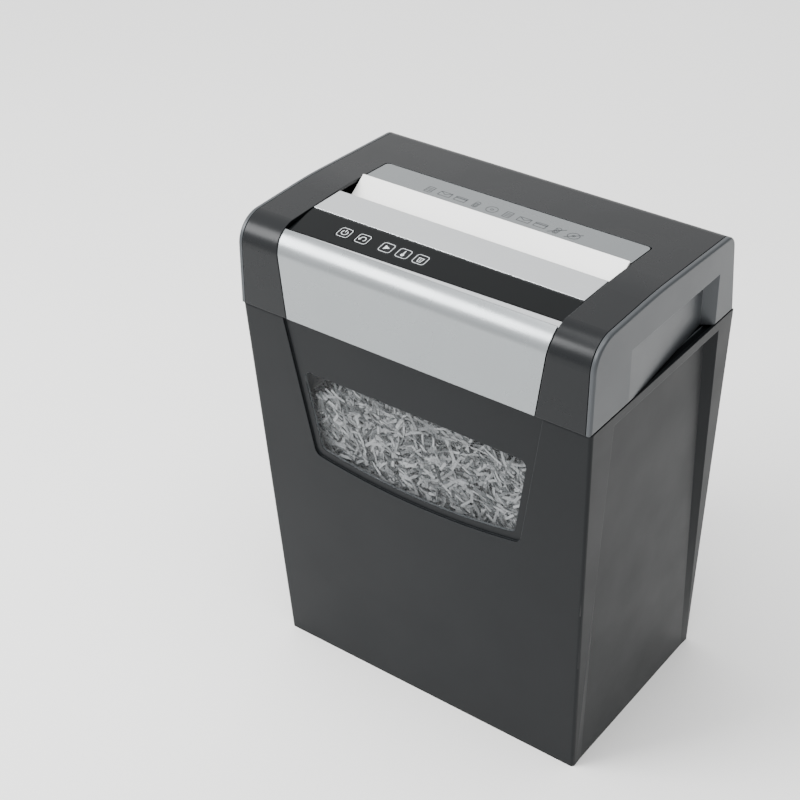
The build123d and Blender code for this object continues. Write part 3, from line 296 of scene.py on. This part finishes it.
def acetal():
    # natural acetal: milky white gear stock, waxy and slightly see-through
    material, tree, shader, place = finishMaterial(
        {"colour": "#E9E6DA", "edge": "#F6F4EC", "edgeWidth": 0.4, "highlightAmount": 0.3, "mottle": 15,
         "mottleDepth": 0.03, "gloss": (0.32, 0.4), "patch": 10, "grain": 1.0, "grainDepth": 0.015,
         "ior": 1.48}, "natural acetal")
    shader.inputs["Subsurface Weight"].default_value = 0.15
    shader.inputs["Subsurface Radius"].default_value = (0.003, 0.0025, 0.002)
    shader.inputs["Subsurface Scale"].default_value = 0.5
    return material


def paintedCan():
    # baked enamel on the motor's steel can: a slight orange peel
    settings = {"colour": "#4A4E52", "edge": "#8A8E92", "edgeWidth": 0.4, "highlightAmount": 0.4, "mottle": 25,
                "mottleDepth": 0.05, "gloss": (0.3, 0.4), "patch": 12, "grain": 2.5, "grainDepth": 0.05,
                "metallic": 0.3, "ior": 1.5}
    return finishMaterial(settings, "baked enamel")[0]


def solderMask():
    # green lacquer over copper tracks: the tracks show as paler lines under it
    material, tree, shader, place = finishMaterial(
        {"colour": "#0E4A2C", "edge": "#B9A56A", "edgeWidth": 0.3, "highlightAmount": 0.5, "mottle": 20,
         "mottleDepth": 0.08, "gloss": (0.25, 0.35), "patch": 10, "grain": 1.2, "grainDepth": 0.01,
         "ior": 1.55}, "solder mask on copper")
    tracks = {"Scale": perMm(12), "Mortar Size": 0.05, "Color1": toLinear("#0E4A2C"),
              "Color2": toLinear("#11552F"), "Mortar": toLinear("#2F7A4E")}
    brick = addNode(tree, "ShaderNodeTexBrick", tracks, {"Vector": place})
    tree.links.new(brick.outputs["Color"], shader.inputs["Base Color"])
    return material


def epoxyParts():
    # moulded epoxy and phenolic: the black bodies of switches, relay and capacitors
    settings = {"colour": "#17181B", "edge": "#3F4246", "edgeWidth": 0.4, "highlightAmount": 0.4, "mottle": 8,
                "mottleDepth": 0.1, "gloss": (0.3, 0.42), "patch": 6, "grain": 0.8, "grainDepth": 0.02,
                "ior": 1.55}
    return finishMaterial(settings, "moulded epoxy")[0]


def clearDome():
    # clear epoxy of a small lamp, unlit: water-white, with a painted highlight on the rim
    material, tree, shader, place = finishMaterial(
        {"colour": "#E6EEE9", "edge": "#FFFFFF", "edgeWidth": 0.3, "highlightAmount": 0.3, "mottle": 4,
         "mottleDepth": 0.03, "gloss": (0.05, 0.1), "patch": 4, "grain": 1.0, "grainDepth": 0.005,
         "ior": 1.52}, "clear epoxy")
    shader.inputs["Transmission Weight"].default_value = 0.6
    return material


def clearStyrene():
    # thin moulded styrene, lightly smoked: dims the paper a little and shows faint flow marks
    material, tree, shader, place = newMaterial("clear moulded styrene")
    shader.inputs["Base Color"].default_value = toLinear("#1C1F21")
    shader.inputs["IOR"].default_value = 1.57
    shader.inputs["Alpha"].default_value = 0.15
    unevenGloss(tree, shader, place, 0.05, 0.1, 35)
    flow = addNode(tree, "ShaderNodeTexWave", {"Scale": perMm(90), "Distortion": 3.0, "Detail": 1.0},
                   {"Vector": place})
    bump = addNode(tree, "ShaderNodeBump", {"Strength": 0.15, "Distance": 0.03 * mm},
                   {"Height": flow.outputs["Fac"]})
    tree.links.new(bump.outputs["Normal"], shader.inputs["Normal"])
    return material


def whiteInk():
    # screen-printed white ink, slightly thin in places
    settings = {"colour": "#C9CDCF", "edge": "#DDE0E2", "edgeWidth": 0.1, "highlightAmount": 0.2, "mottle": 2,
                "mottleDepth": 0.12, "gloss": (0.35, 0.5), "patch": 4, "grain": 0.5, "grainDepth": 0.005}
    return finishMaterial(settings, "white printing ink")[0]


def greyInk():
    # pad-printed dark grey ink on the silver strip
    settings = {"colour": "#2C3033", "edge": "#3A3E41", "edgeWidth": 0.1, "highlightAmount": 0.2, "mottle": 2,
                "mottleDepth": 0.12, "gloss": (0.4, 0.55), "patch": 4, "grain": 0.5, "grainDepth": 0.005}
    return finishMaterial(settings, "grey printing ink")[0]


def officePaper():
    # uncoated office paper, its colour painted in shade: each strip its own grey, partly at random and partly
    # as painted shade between the strips, with dark specks of print
    material, tree, shader, place = newMaterial("uncoated office paper")
    toneAndShade = addNode(tree, "ShaderNodeAttribute", {"attribute_name": "toneAndShade"})
    ramp = addNode(tree, "ShaderNodeValToRGB", {}, {"Fac": toneAndShade.outputs["Fac"]})
    ramp.color_ramp.elements[0].color = toLinear("#15181A")
    ramp.color_ramp.elements[1].color = toLinear("#A6A9AB")
    middle = ramp.color_ramp.elements.new(0.40)
    middle.color = toLinear("#4C5052")
    printing = addNode(tree, "ShaderNodeTexNoise", {"Scale": perMm(2.2), "Detail": 3.0}, {"Vector": place})
    specks = addNode(tree, "ShaderNodeMapRange", {"From Min": 0.60, "From Max": 0.68, "To Max": 0.55},
                     {"Value": printing.outputs["Fac"]})
    mix = addNode(tree, "ShaderNodeMix", {"data_type": "RGBA"})
    tree.links.new(specks.outputs["Result"], mix.inputs["Factor"])
    tree.links.new(ramp.outputs["Color"], mix.inputs[6])
    mix.inputs[7].default_value = toLinear("#222628")
    tree.links.new(mix.outputs[2], shader.inputs["Base Color"])
    shader.inputs["IOR"].default_value = 1.5
    shader.inputs["Subsurface Weight"].default_value = 0.1
    shader.inputs["Subsurface Radius"].default_value = (0.001, 0.001, 0.001)
    unevenGloss(tree, shader, place, 0.75, 0.9, 3)
    return material


materials = {
    "graphite": graphiteAbs(), "bin": binPolypropylene(), "grey": greyAbs(), "skirt": skirtAbs(),
    # a paler copy of the silver paint, painted light for the extra light these flat strips catch
    "silver": silverPaint("#84888A"), "paintedLitSilver": silverPaint("#CBCED0"), "black": glossBlack(),
    "white": whiteAbs(), "lens": lampLens(),
    "zinc": zincPlate(), "cutter": hardenedSteel(), "bronze": sinteredBronze(), "nylon": blackNylon(),
    "acetal": acetal(), "can": paintedCan(), "board": solderMask(), "epoxy": epoxyParts(),
    "dome": clearDome(), "clear": clearStyrene(), "whiteInk": whiteInk(), "greyInk": greyInk(),
    "paper": officePaper(),
}
print("materials made:", len(materials))

nodeFinish = {
    "bin": ["bin_shell"],
    "clear": ["bin_window"],
    "graphite": ["top_housing"],
    "grey": ["left_side_cover", "right_side_cover"],
    "skirt": ["lower_housing"],
    "silver": ["front_panel", "rear_strip"],
    # the paler silver copy is painted light on these strips
    "paintedLitSilver": ["front_throat_strip", "strip_trim"],
    "black": ["control_strip", "power_key", "reverse_key"],
    "lens": ["indicator_lenses"],
    "white": ["rear_throat_guide", "lever_lugs", "auto_start_lever"],
    "zinc": ["left_side_plate", "right_side_plate", "tie_rods", "chassis_screws", "gearbox_case",
             "idler_axle", "idler_clip", "lever_pin", "housing_screws", "front_sync_gear", "rear_sync_gear",
             "output_shaft", "drive_pinion"],
    "cutter": ["front_cutter", "rear_cutter"],
    "bronze": ["shaft_bushes"],
    "nylon": ["front_stripper_comb", "rear_stripper_comb", "power_board_spacers", "board_spacers",
              "cord_gland"],
    "acetal": ["drive_gear", "idler_gear"],
    "can": ["motor_body"],
    "board": ["power_board", "control_board"],
    "epoxy": ["power_board_parts", "key_switches", "start_switch", "interlock_switch"],
    "dome": ["indicator_lamps"],
}
for finish, names in nodeFinish.items():
    for name in names:
        node = nodes[name]
        node.data.materials.clear()
        node.data.materials.append(materials[finish])


def newPiece(name, mesh, finish, body):
    piece = bpy.data.objects.new(name, mesh)
    scene.collection.objects.link(piece)
    mesh.materials.append(materials[finish])
    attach(piece, body)
    return piece


# ---- cut paper in the bin ----

paper = {
    "seed": 23,
    "sideRoom": 0.0141,  # from the rim's outer faces to the heap, metres
    "sideTaper": 0.0035,
    "frontRoom": 0.0083,
    "frontTaper": 0.020,
    "backRoom": 0.0063,
    "coreInset": 0.0095,
    "coreDrop": 0.009,
    "coreGrid": (46, 32),
    "coreLevel": 0.30,
    "stripWidth": (0.0019, 0.0030),
    "stripLength": (0.011, 0.023),
    "stripThickness": 0.00022,
    "segments": 4,
    "bendCentre": 0.08,
    "toneAndShade": (1.6, 1.0),
}

topStrips = {
    "count": 5200,
    "level": 0.31,
    "edgeRoom": 0.008,
    "wallRoom": 0.012,
    "depth": 0.009,
    "tilt": 0.28,
    "twist": 0.35,
    "curl": (-0.5, 0.9),
}

frontStrips = {
    "count": 4200,
    "halfWidth": 0.135,
    "heights": (0.220, 0.335),
    "crestRoom": 0.004,
    "wallGap": 0.0015,
    "depth": 0.008,
    "crowding": 1.5,  # above 1, more of the strips lie against the window
    "tilt": 0.08,
    "rise": 0.8,
    "twist": 0.3,
    "curl": (-0.5, 0.2),
}

heap = {
    "topDrop": 0.005,
    "left": {"start": -0.068, "run": 0.11, "fall": 0.10, "power": 1.2},
    "right": {"start": 0.06, "run": 0.06, "fall": 0.010},
    "back": {"start": -0.03, "run": 0.11, "fall": 0.055, "power": 1.3},
    "broadLump": (0.0030, 61, 73, 1.3),
    "fineLump": (0.0020, 131, 97),
}


heapLow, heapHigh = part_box("shredded_paper")
binLow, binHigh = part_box("bin_shell")


def heapHeight(x, y):
    # highest a little right of the middle and near the front, falling away to the left and the back
    left = max(0.0, (heap["left"]["start"] - x) / heap["left"]["run"])
    right = max(0.0, (x - heap["right"]["start"]) / heap["right"]["run"])
    back = max(0.0, (y - heap["back"]["start"]) / heap["back"]["run"])
    height, waveX, waveY, shift = heap["broadLump"]
    lumps = height * math.sin(x * waveX) * math.cos(y * waveY + shift)
    height, waveX, waveY = heap["fineLump"]
    lumps += height * math.sin(x * waveX + y * waveY)
    falls = heap["left"]["fall"] * left ** heap["left"]["power"] + heap["right"]["fall"] * right
    falls += heap["back"]["fall"] * back ** heap["back"]["power"]
    return heapHigh.z - heap["topDrop"] - falls + lumps


def heapPlan(z):
    # the bin narrows towards its foot, and the heap with it
    drop = 1 - z / binHigh.z
    half = binHigh.x - paper["sideRoom"] - paper["sideTaper"] * drop
    front = binLow.y + paper["frontRoom"] + paper["frontTaper"] * drop
    return half, front, binHigh.y - paper["backRoom"]


def paperPiece(name, verts, faces, tones):
    mesh = bpy.data.meshes.new(name)
    mesh.from_pydata(verts, [], faces)
    mesh.update()
    mesh.attributes.new("toneAndShade", "FLOAT", "POINT").data.foreach_set("value", tones)
    return newPiece(name, mesh, "paper", "bin")


def heapCore():
    # a lumpy closed body just under the loose strips, painted the darkest paper grey as the shade between
    # them
    columns, rows = paper["coreGrid"]
    verts, faces = [], []
    for level in range(2):
        for j in range(rows + 1):
            for i in range(columns + 1):
                z = paper["coreLevel"] if level else heapLow.z + mm
                half, front, back = heapPlan(z)
                front += paper["coreInset"]
                x = -half + 2 * half * i / columns
                y = front + (back - front) * j / rows
                if level:
                    z = heapHeight(x, y) - paper["coreDrop"]
                verts.append((x, y, z))
    stride = columns + 1
    layer = stride * (rows + 1)
    for j in range(rows):
        for i in range(columns):
            a = j * stride + i
            b = a + layer
            faces.append((a, a + stride, a + stride + 1, a + 1))
            faces.append((b, b + 1, b + stride + 1, b + stride))
    rim = list(range(columns + 1))
    rim += [j * stride + columns for j in range(1, rows + 1)]
    rim += [rows * stride + i for i in range(columns - 1, -1, -1)]
    rim += [j * stride for j in range(rows - 1, 0, -1)]
    for k, a in enumerate(rim):
        b = rim[(k + 1) % len(rim)]
        faces.append((a, b, b + layer, a + layer))
    # tone 0 gives the core the darkest grey: painted shade between the strips
    return paperPiece("packedPaper", verts, faces, [0.0] * len(verts))


def addStrip(verts, faces, tones, centre, along, normal, length, width, curl, toneAndShade):
    # one closed ribbon, bent along its length and a little twisted
    along = along.normalized()
    normal = (normal - along * normal.dot(along)).normalized()
    across = along.cross(normal)
    segments = paper["segments"]
    thick = paper["stripThickness"] / 2
    first = len(verts)
    for s in range(segments + 1):
        t = s / segments - 0.5
        bend = curl * (t * t - paper["bendCentre"]) * length
        point = centre + along * (t * length) + normal * bend
        slope = (along + normal * (2 * curl * t)).normalized()
        up = across.cross(slope).normalized() * -1
        for side, lift in ((-1, -1), (1, -1), (1, 1), (-1, 1)):
            verts.append(point + across * (side * width / 2) + up * (lift * thick))
        tones.extend([toneAndShade] * 4)
    for s in range(segments):
        a = first + 4 * s
        for k in range(4):
            b = (k + 1) % 4
            faces.append((a + k, a + b, a + b + 4, a + k + 4))
    faces.append((first + 3, first + 2, first + 1, first))
    last = first + 4 * segments
    faces.append((last, last + 1, last + 2, last + 3))


def looseStrips():
    rng = random.Random(paper["seed"])
    verts, faces, tones = [], [], []

    # each strip's grey is partly at random and partly painted shade between the strips
    def lay(x, y, z, along, normal, curl):
        addStrip(verts, faces, tones, Vector((x, y, z)), along, normal, rng.uniform(*paper["stripLength"]),
                 rng.uniform(*paper["stripWidth"]), rng.uniform(*curl), rng.betavariate(*paper["toneAndShade"]))

    for _ in range(topStrips["count"]):
        half, front, back = heapPlan(topStrips["level"])
        edge = topStrips["edgeRoom"]
        x = rng.uniform(-half + edge, half - edge)
        y = rng.uniform(front + edge, back - edge)
        z = heapHeight(x, y) - rng.uniform(0.0, topStrips["depth"])
        half, front, back = heapPlan(z)
        room = topStrips["wallRoom"]
        x = max(-half + room, min(half - room, x))
        y = max(front + room, min(back - room, y))
        angle = rng.uniform(0, 2 * math.pi)
        along = Vector((math.cos(angle), math.sin(angle), rng.gauss(0, topStrips["tilt"])))
        normal = Vector((rng.gauss(0, topStrips["twist"]), rng.gauss(0, topStrips["twist"]), 1))
        lay(x, y, z, along, normal, topStrips["curl"])
    for _ in range(frontStrips["count"]):
        x = rng.uniform(-frontStrips["halfWidth"], frontStrips["halfWidth"])
        z = rng.uniform(*frontStrips["heights"])
        front = heapPlan(z)[1]
        if z > heapHeight(x, front) - frontStrips["crestRoom"]:
            continue
        y = front + frontStrips["wallGap"] + frontStrips["depth"] * rng.random() ** frontStrips["crowding"]
        angle = rng.uniform(0, 2 * math.pi)
        lean = rng.gauss(0, frontStrips["tilt"])
        along = Vector((math.cos(angle), lean, frontStrips["rise"] * math.sin(angle)))
        normal = Vector((rng.gauss(0, frontStrips["twist"]), -1, rng.gauss(0, frontStrips["twist"])))
        lay(x, y, z, along, normal, frontStrips["curl"])
    return paperPiece("cutStrips", verts, faces, tones)


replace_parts(heapCore(), "shredded_paper")
looseStrips()
print("cut paper made")


# ---- printed marks ----

ink = {"under": 0.01, "over": 0.07, "rayStart": 50}  # millimetres above the face it is printed on


def topPlane(name, x, y):
    # where a vertical ray meets the node's upper face, with the directions across, up and out of it
    start = Vector((x, y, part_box(name)[1].z + ink["rayStart"] * mm))
    point, normal = nodes[name].ray_cast(start, Vector((0, 0, -1)))[1:3]
    across = Vector((1, 0, 0))
    return point, across, normal.cross(across).normalized(), normal


def raisedLoop(bm, plane, points, lift):
    point, across, up, normal = plane
    return [bm.verts.new(point + (across * x + up * y + normal * lift) * mm) for x, y in points]


def arcPoints(centre, radius, angles):
    return [(centre[0] + radius * math.cos(a), centre[1] + radius * math.sin(a)) for a in angles]


def bandMark(bm, plane, outlines, closed=True):
    # a flat band of ink between an outer and an inner outline
    lowLoops, topLoops = ([raisedLoop(bm, plane, points, ink[level]) for points in outlines]
                          for level in ("under", "over"))
    lowOut, lowIn = lowLoops
    topOut, topIn = topLoops
    count = len(lowOut)
    for k in range(count if closed else count - 1):
        n = (k + 1) % count
        bm.faces.new((topOut[k], topOut[n], topIn[n], topIn[k]))
        bm.faces.new((lowOut[n], lowOut[k], lowIn[k], lowIn[n]))
        bm.faces.new((lowOut[k], lowOut[n], topOut[n], topOut[k]))
        bm.faces.new((lowIn[n], lowIn[k], topIn[k], topIn[n]))
    if not closed:
        bm.faces.new((lowOut[0], topOut[0], topIn[0], lowIn[0]))
        bm.faces.new((lowOut[-1], lowIn[-1], topIn[-1], topOut[-1]))


def ringMark(bm, plane, centre, outer, inner, corners, start=0.0, sweep=360.0):
    closed = sweep == 360.0
    angles = [math.radians(start + sweep * k / corners) for k in range(corners if closed else corners + 1)]
    bandMark(bm, plane, [arcPoints(centre, radius, angles) for radius in (outer, inner)], closed)


def frameMark(bm, plane, centre, width, height, corner, line):
    outlines = []
    for inset in (0, line):
        points = []
        for cx, cy, turn in ((1, 1, 0), (-1, 1, 1), (-1, -1, 2), (1, -1, 3)):
            middle = (centre[0] + cx * (width / 2 - corner), centre[1] + cy * (height / 2 - corner))
            points += arcPoints(middle, corner - inset, [(turn + k / 5) * math.pi / 2 for k in range(6)])
        outlines.append(points)
    bandMark(bm, plane, outlines)


def plateMark(bm, plane, points):
    low, top = (raisedLoop(bm, plane, points, ink[level]) for level in ("under", "over"))
    bm.faces.new(top)
    bm.faces.new(low[::-1])
    for k in range(len(points)):
        n = (k + 1) % len(points)
        bm.faces.new((low[k], low[n], top[n], top[k]))


def barMark(bm, plane, start, end, width):
    direction = Vector((end[0] - start[0], end[1] - start[1])).normalized()
    side = Vector((-direction.y, direction.x)) * width / 2
    plateMark(bm, plane, [(start[0] - side.x, start[1] - side.y), (end[0] - side.x, end[1] - side.y),
                          (end[0] + side.x, end[1] + side.y), (start[0] + side.x, start[1] + side.y)])


def finishMark(bm, name, finish, body):
    bmesh.ops.recalc_face_normals(bm, faces=bm.faces)
    mesh = bpy.data.meshes.new(name)
    bm.to_mesh(mesh)
    bm.free()
    return newPiece(name, mesh, finish, body)


# sizes of the marks in millimetres, from the middle of each key or lamp
icon = {"frame": 11.8, "corner": 2.6, "line": 0.5, "stroke": 0.6, "lensSide": 14.1}


def powerMark(bm, plane):
    ringMark(bm, plane, (0, 0), 3.2, 2.5, 28, 125, 290)
    barMark(bm, plane, (0, 0.8), (0, 4.0), 0.7)


def reverseMark(bm, plane):
    ringMark(bm, plane, (0, 0), 3.0, 2.3, 22, -60, 240)
    plateMark(bm, plane, [(-4.4, -0.2), (-1.4, -0.2), (-2.9, -2.4)])


def sheetMark(bm, plane):
    plateMark(bm, plane, [(-2.2, -2.8), (3.0, 0), (-2.2, 2.8)])


def heatMark(bm, plane):
    barMark(bm, plane, (0, -1.2), (0, 3.6), 1.0)
    ringMark(bm, plane, (0, -2.0), 1.6, 0.4, 18)


def fullBinMark(bm, plane):
    for start, end in (((-2.8, 1.8), (2.8, 1.8)), ((-2.2, 1.4), (-1.6, -3.2)), ((2.2, 1.4), (1.6, -3.2)),
                       ((-1.8, -3.2), (1.8, -3.2)), ((0, 0.8), (0, -2.0))):
        barMark(bm, plane, start, end, icon["stroke"])


def framedMark(bm, name, x, drawMark):
    low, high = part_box(name)
    plane = topPlane(name, x, (low.y + high.y) / 2)
    frameMark(bm, plane, (0, 0), icon["frame"], icon["frame"], icon["corner"], icon["line"])
    drawMark(bm, plane)


def stripMarks():
    for name, drawMark in (("power_key", powerMark), ("reverse_key", reverseMark)):
        low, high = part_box(name)
        bm = bmesh.new()
        framedMark(bm, name, (low.x + high.x) / 2, drawMark)
        finishMark(bm, name.replace("_key", "KeyMark"), "whiteInk", name)
    low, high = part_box("indicator_lenses")
    inset = icon["lensSide"] * mm / 2
    spots = [low.x + inset, (low.x + high.x) / 2, high.x - inset]
    bm = bmesh.new()
    for x, drawMark in zip(spots, (sheetMark, heatMark, fullBinMark)):
        framedMark(bm, "indicator_lenses", x, drawMark)
    finishMark(bm, "lampMarks", "whiteInk", "head")


guide = {"pitch": 16.0, "count": 10, "size": 11.2, "line": 0.7, "depth": 0.36, "barred": 2}


def guideMark(bm, plane, index):
    # generic hints for what may go in: sheets, a folded letter, a card, a clip, a disc
    s = guide["size"] / 2
    line = guide["line"]
    kind = index % 5
    if kind == 0:
        frameMark(bm, plane, (0, 0), 1.3 * s, 1.9 * s, 0.8, line)
        for k in range(3):
            barMark(bm, plane, (-0.4 * s, (0.4 - 0.4 * k) * s), (0.4 * s, (0.4 - 0.4 * k) * s), line)
    elif kind == 1:
        frameMark(bm, plane, (0, 0), 2.2 * s, 1.4 * s, 0.8, line)
        barMark(bm, plane, (-1.0 * s, 0.6 * s), (0, -0.1 * s), line)
        barMark(bm, plane, (0, -0.1 * s), (1.0 * s, 0.6 * s), line)
    elif kind == 2:
        frameMark(bm, plane, (0, 0), 2.1 * s, 1.4 * s, 0.9, line)
        barMark(bm, plane, (-1.0 * s, 0.25 * s), (1.0 * s, 0.25 * s), 2 * line)
    elif kind == 3:
        frameMark(bm, plane, (0, 0), 0.9 * s, 1.9 * s, 1.7, line)
        frameMark(bm, plane, (0, -0.15 * s), 0.45 * s, 1.2 * s, 0.9, line)
    else:
        ringMark(bm, plane, (0, 0), s, s - line, 26)
        ringMark(bm, plane, (0, 0), 0.3 * s, 0.3 * s - line, 14)
    if index >= guide["count"] - guide["barred"]:
        barMark(bm, plane, (-1.1 * s, -1.0 * s), (1.1 * s, 1.0 * s), 1.3 * line)


def guideMarks():
    low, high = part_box("rear_strip")
    y = low.y + guide["depth"] * (high.y - low.y)
    bm = bmesh.new()
    for index in range(guide["count"]):
        x = (index - (guide["count"] - 1) / 2) * guide["pitch"] * mm
        guideMark(bm, topPlane("rear_strip", x, y), index)
    finishMark(bm, "guideMarks", "greyInk", "head")


stripMarks()
guideMarks()
print("printed marks made")


# ---- floor, light and camera ----

studio = {
    "floorSize": 14.0,
    "floorColours": ("#F7F7F6", "#FBFBFA"),
    "floorMottle": 400,
    "floorRoughness": 0.85,
    "tentTowards": (-0.75, -0.30, 0.60),
    "tent": (0.0, 2.2),
    "key": {"at": (-1.35, -1.5, 1.75), "aim": (0, 0, 0.40), "size": (1.3, 1.0), "power": 70},
    "top": {"at": (0.1, -0.3, 2.4), "aim": (0, 0, 0.3), "size": (2.0, 1.2), "power": 34},
}


def makeFloor():
    bm = bmesh.new()
    bmesh.ops.create_grid(bm, x_segments=8, y_segments=8, size=studio["floorSize"] / 2)
    mesh = bpy.data.meshes.new("floor")
    bm.to_mesh(mesh)
    bm.free()
    floor = bpy.data.objects.new("floor", mesh)
    scene.collection.objects.link(floor)
    material, tree, shader, place = newMaterial("matt studio paper")
    mottle = {"Scale": perMm(studio["floorMottle"]), "Detail": 2.0}
    noise = addNode(tree, "ShaderNodeTexNoise", mottle, {"Vector": place})
    ramp = addNode(tree, "ShaderNodeValToRGB", {}, {"Fac": noise.outputs["Fac"]})
    for stop, colour in zip(ramp.color_ramp.elements, studio["floorColours"]):
        stop.color = toLinear(colour)
    tree.links.new(ramp.outputs["Color"], shader.inputs["Base Color"])
    shader.inputs["Roughness"].default_value = studio["floorRoughness"]
    mesh.materials.append(material)


def makeLamp(name, settings):
    light = bpy.data.lights.new(name, "AREA")
    light.shape = "RECTANGLE"
    light.size, light.size_y = settings["size"]
    light.energy = settings["power"]
    lamp = bpy.data.objects.new(name, light)
    scene.collection.objects.link(lamp)
    lamp.location = settings["at"]
    lamp.rotation_euler = (Vector(settings["aim"]) - lamp.location).to_track_quat("-Z", "Y").to_euler()


def makeWorld():
    # a bright tent on the left and overhead that falls away to the right
    world = bpy.data.worlds.new("studio")
    world.use_nodes = True
    tree = world.node_tree
    background = tree.nodes["Background"]
    background.inputs["Color"].default_value = toLinear("#FFFFFF")
    direction = addNode(tree, "ShaderNodeTexCoord").outputs["Generated"]
    dot = addNode(tree, "ShaderNodeVectorMath", {"operation": "DOT_PRODUCT"})
    tree.links.new(direction, dot.inputs[0])
    dot.inputs[1].default_value = Vector(studio["tentTowards"]).normalized()
    low, high = studio["tent"]
    strength = addNode(tree, "ShaderNodeMapRange", {"From Min": -1.0, "To Min": low, "To Max": high},
                       {"Value": dot.outputs["Value"]})
    tree.links.new(strength.outputs["Result"], background.inputs["Strength"])
    scene.world = world


shot = {
    "azimuth": 37.48,
    "elevation": 34.39,
    "roll": -1.3,
    "distance": 1.5289,
    "centre": (0.0, 0.001, 0.25),
    "slide": (-0.07637, 0.02537),  # how far the camera stands right and up of that centre
    "lens": 76.84,
    "sensor": 36.0,
    "clip": (0.05, 60),
}


def makeCamera():
    azimuth, elevation, roll = (math.radians(shot[k]) for k in ("azimuth", "elevation", "roll"))
    back = Vector((math.sin(azimuth) * math.cos(elevation), -math.cos(azimuth) * math.cos(elevation),
                   math.sin(elevation)))
    level = Vector((math.cos(azimuth), math.sin(azimuth), 0))
    upright = back.cross(level)
    right = level * math.cos(roll) + upright * math.sin(roll)
    up = upright * math.cos(roll) - level * math.sin(roll)
    camera = bpy.data.objects.new("camera", bpy.data.cameras.new("camera"))
    scene.collection.objects.link(camera)
    camera.data.lens = shot["lens"]
    camera.data.sensor_width = shot["sensor"]
    aside = right * shot["slide"][0] + up * shot["slide"][1]
    place = Vector(shot["centre"]) + aside + back * shot["distance"]
    turn = Matrix((right, up, back)).transposed().to_4x4()
    camera.matrix_world = Matrix.Translation(place) @ turn
    camera.data.clip_start, camera.data.clip_end = shot["clip"]
    scene.camera = camera


makeFloor()
for lampName in ("key", "top"):
    makeLamp(lampName, studio[lampName])
makeWorld()
makeCamera()
print("floor, light and camera made")
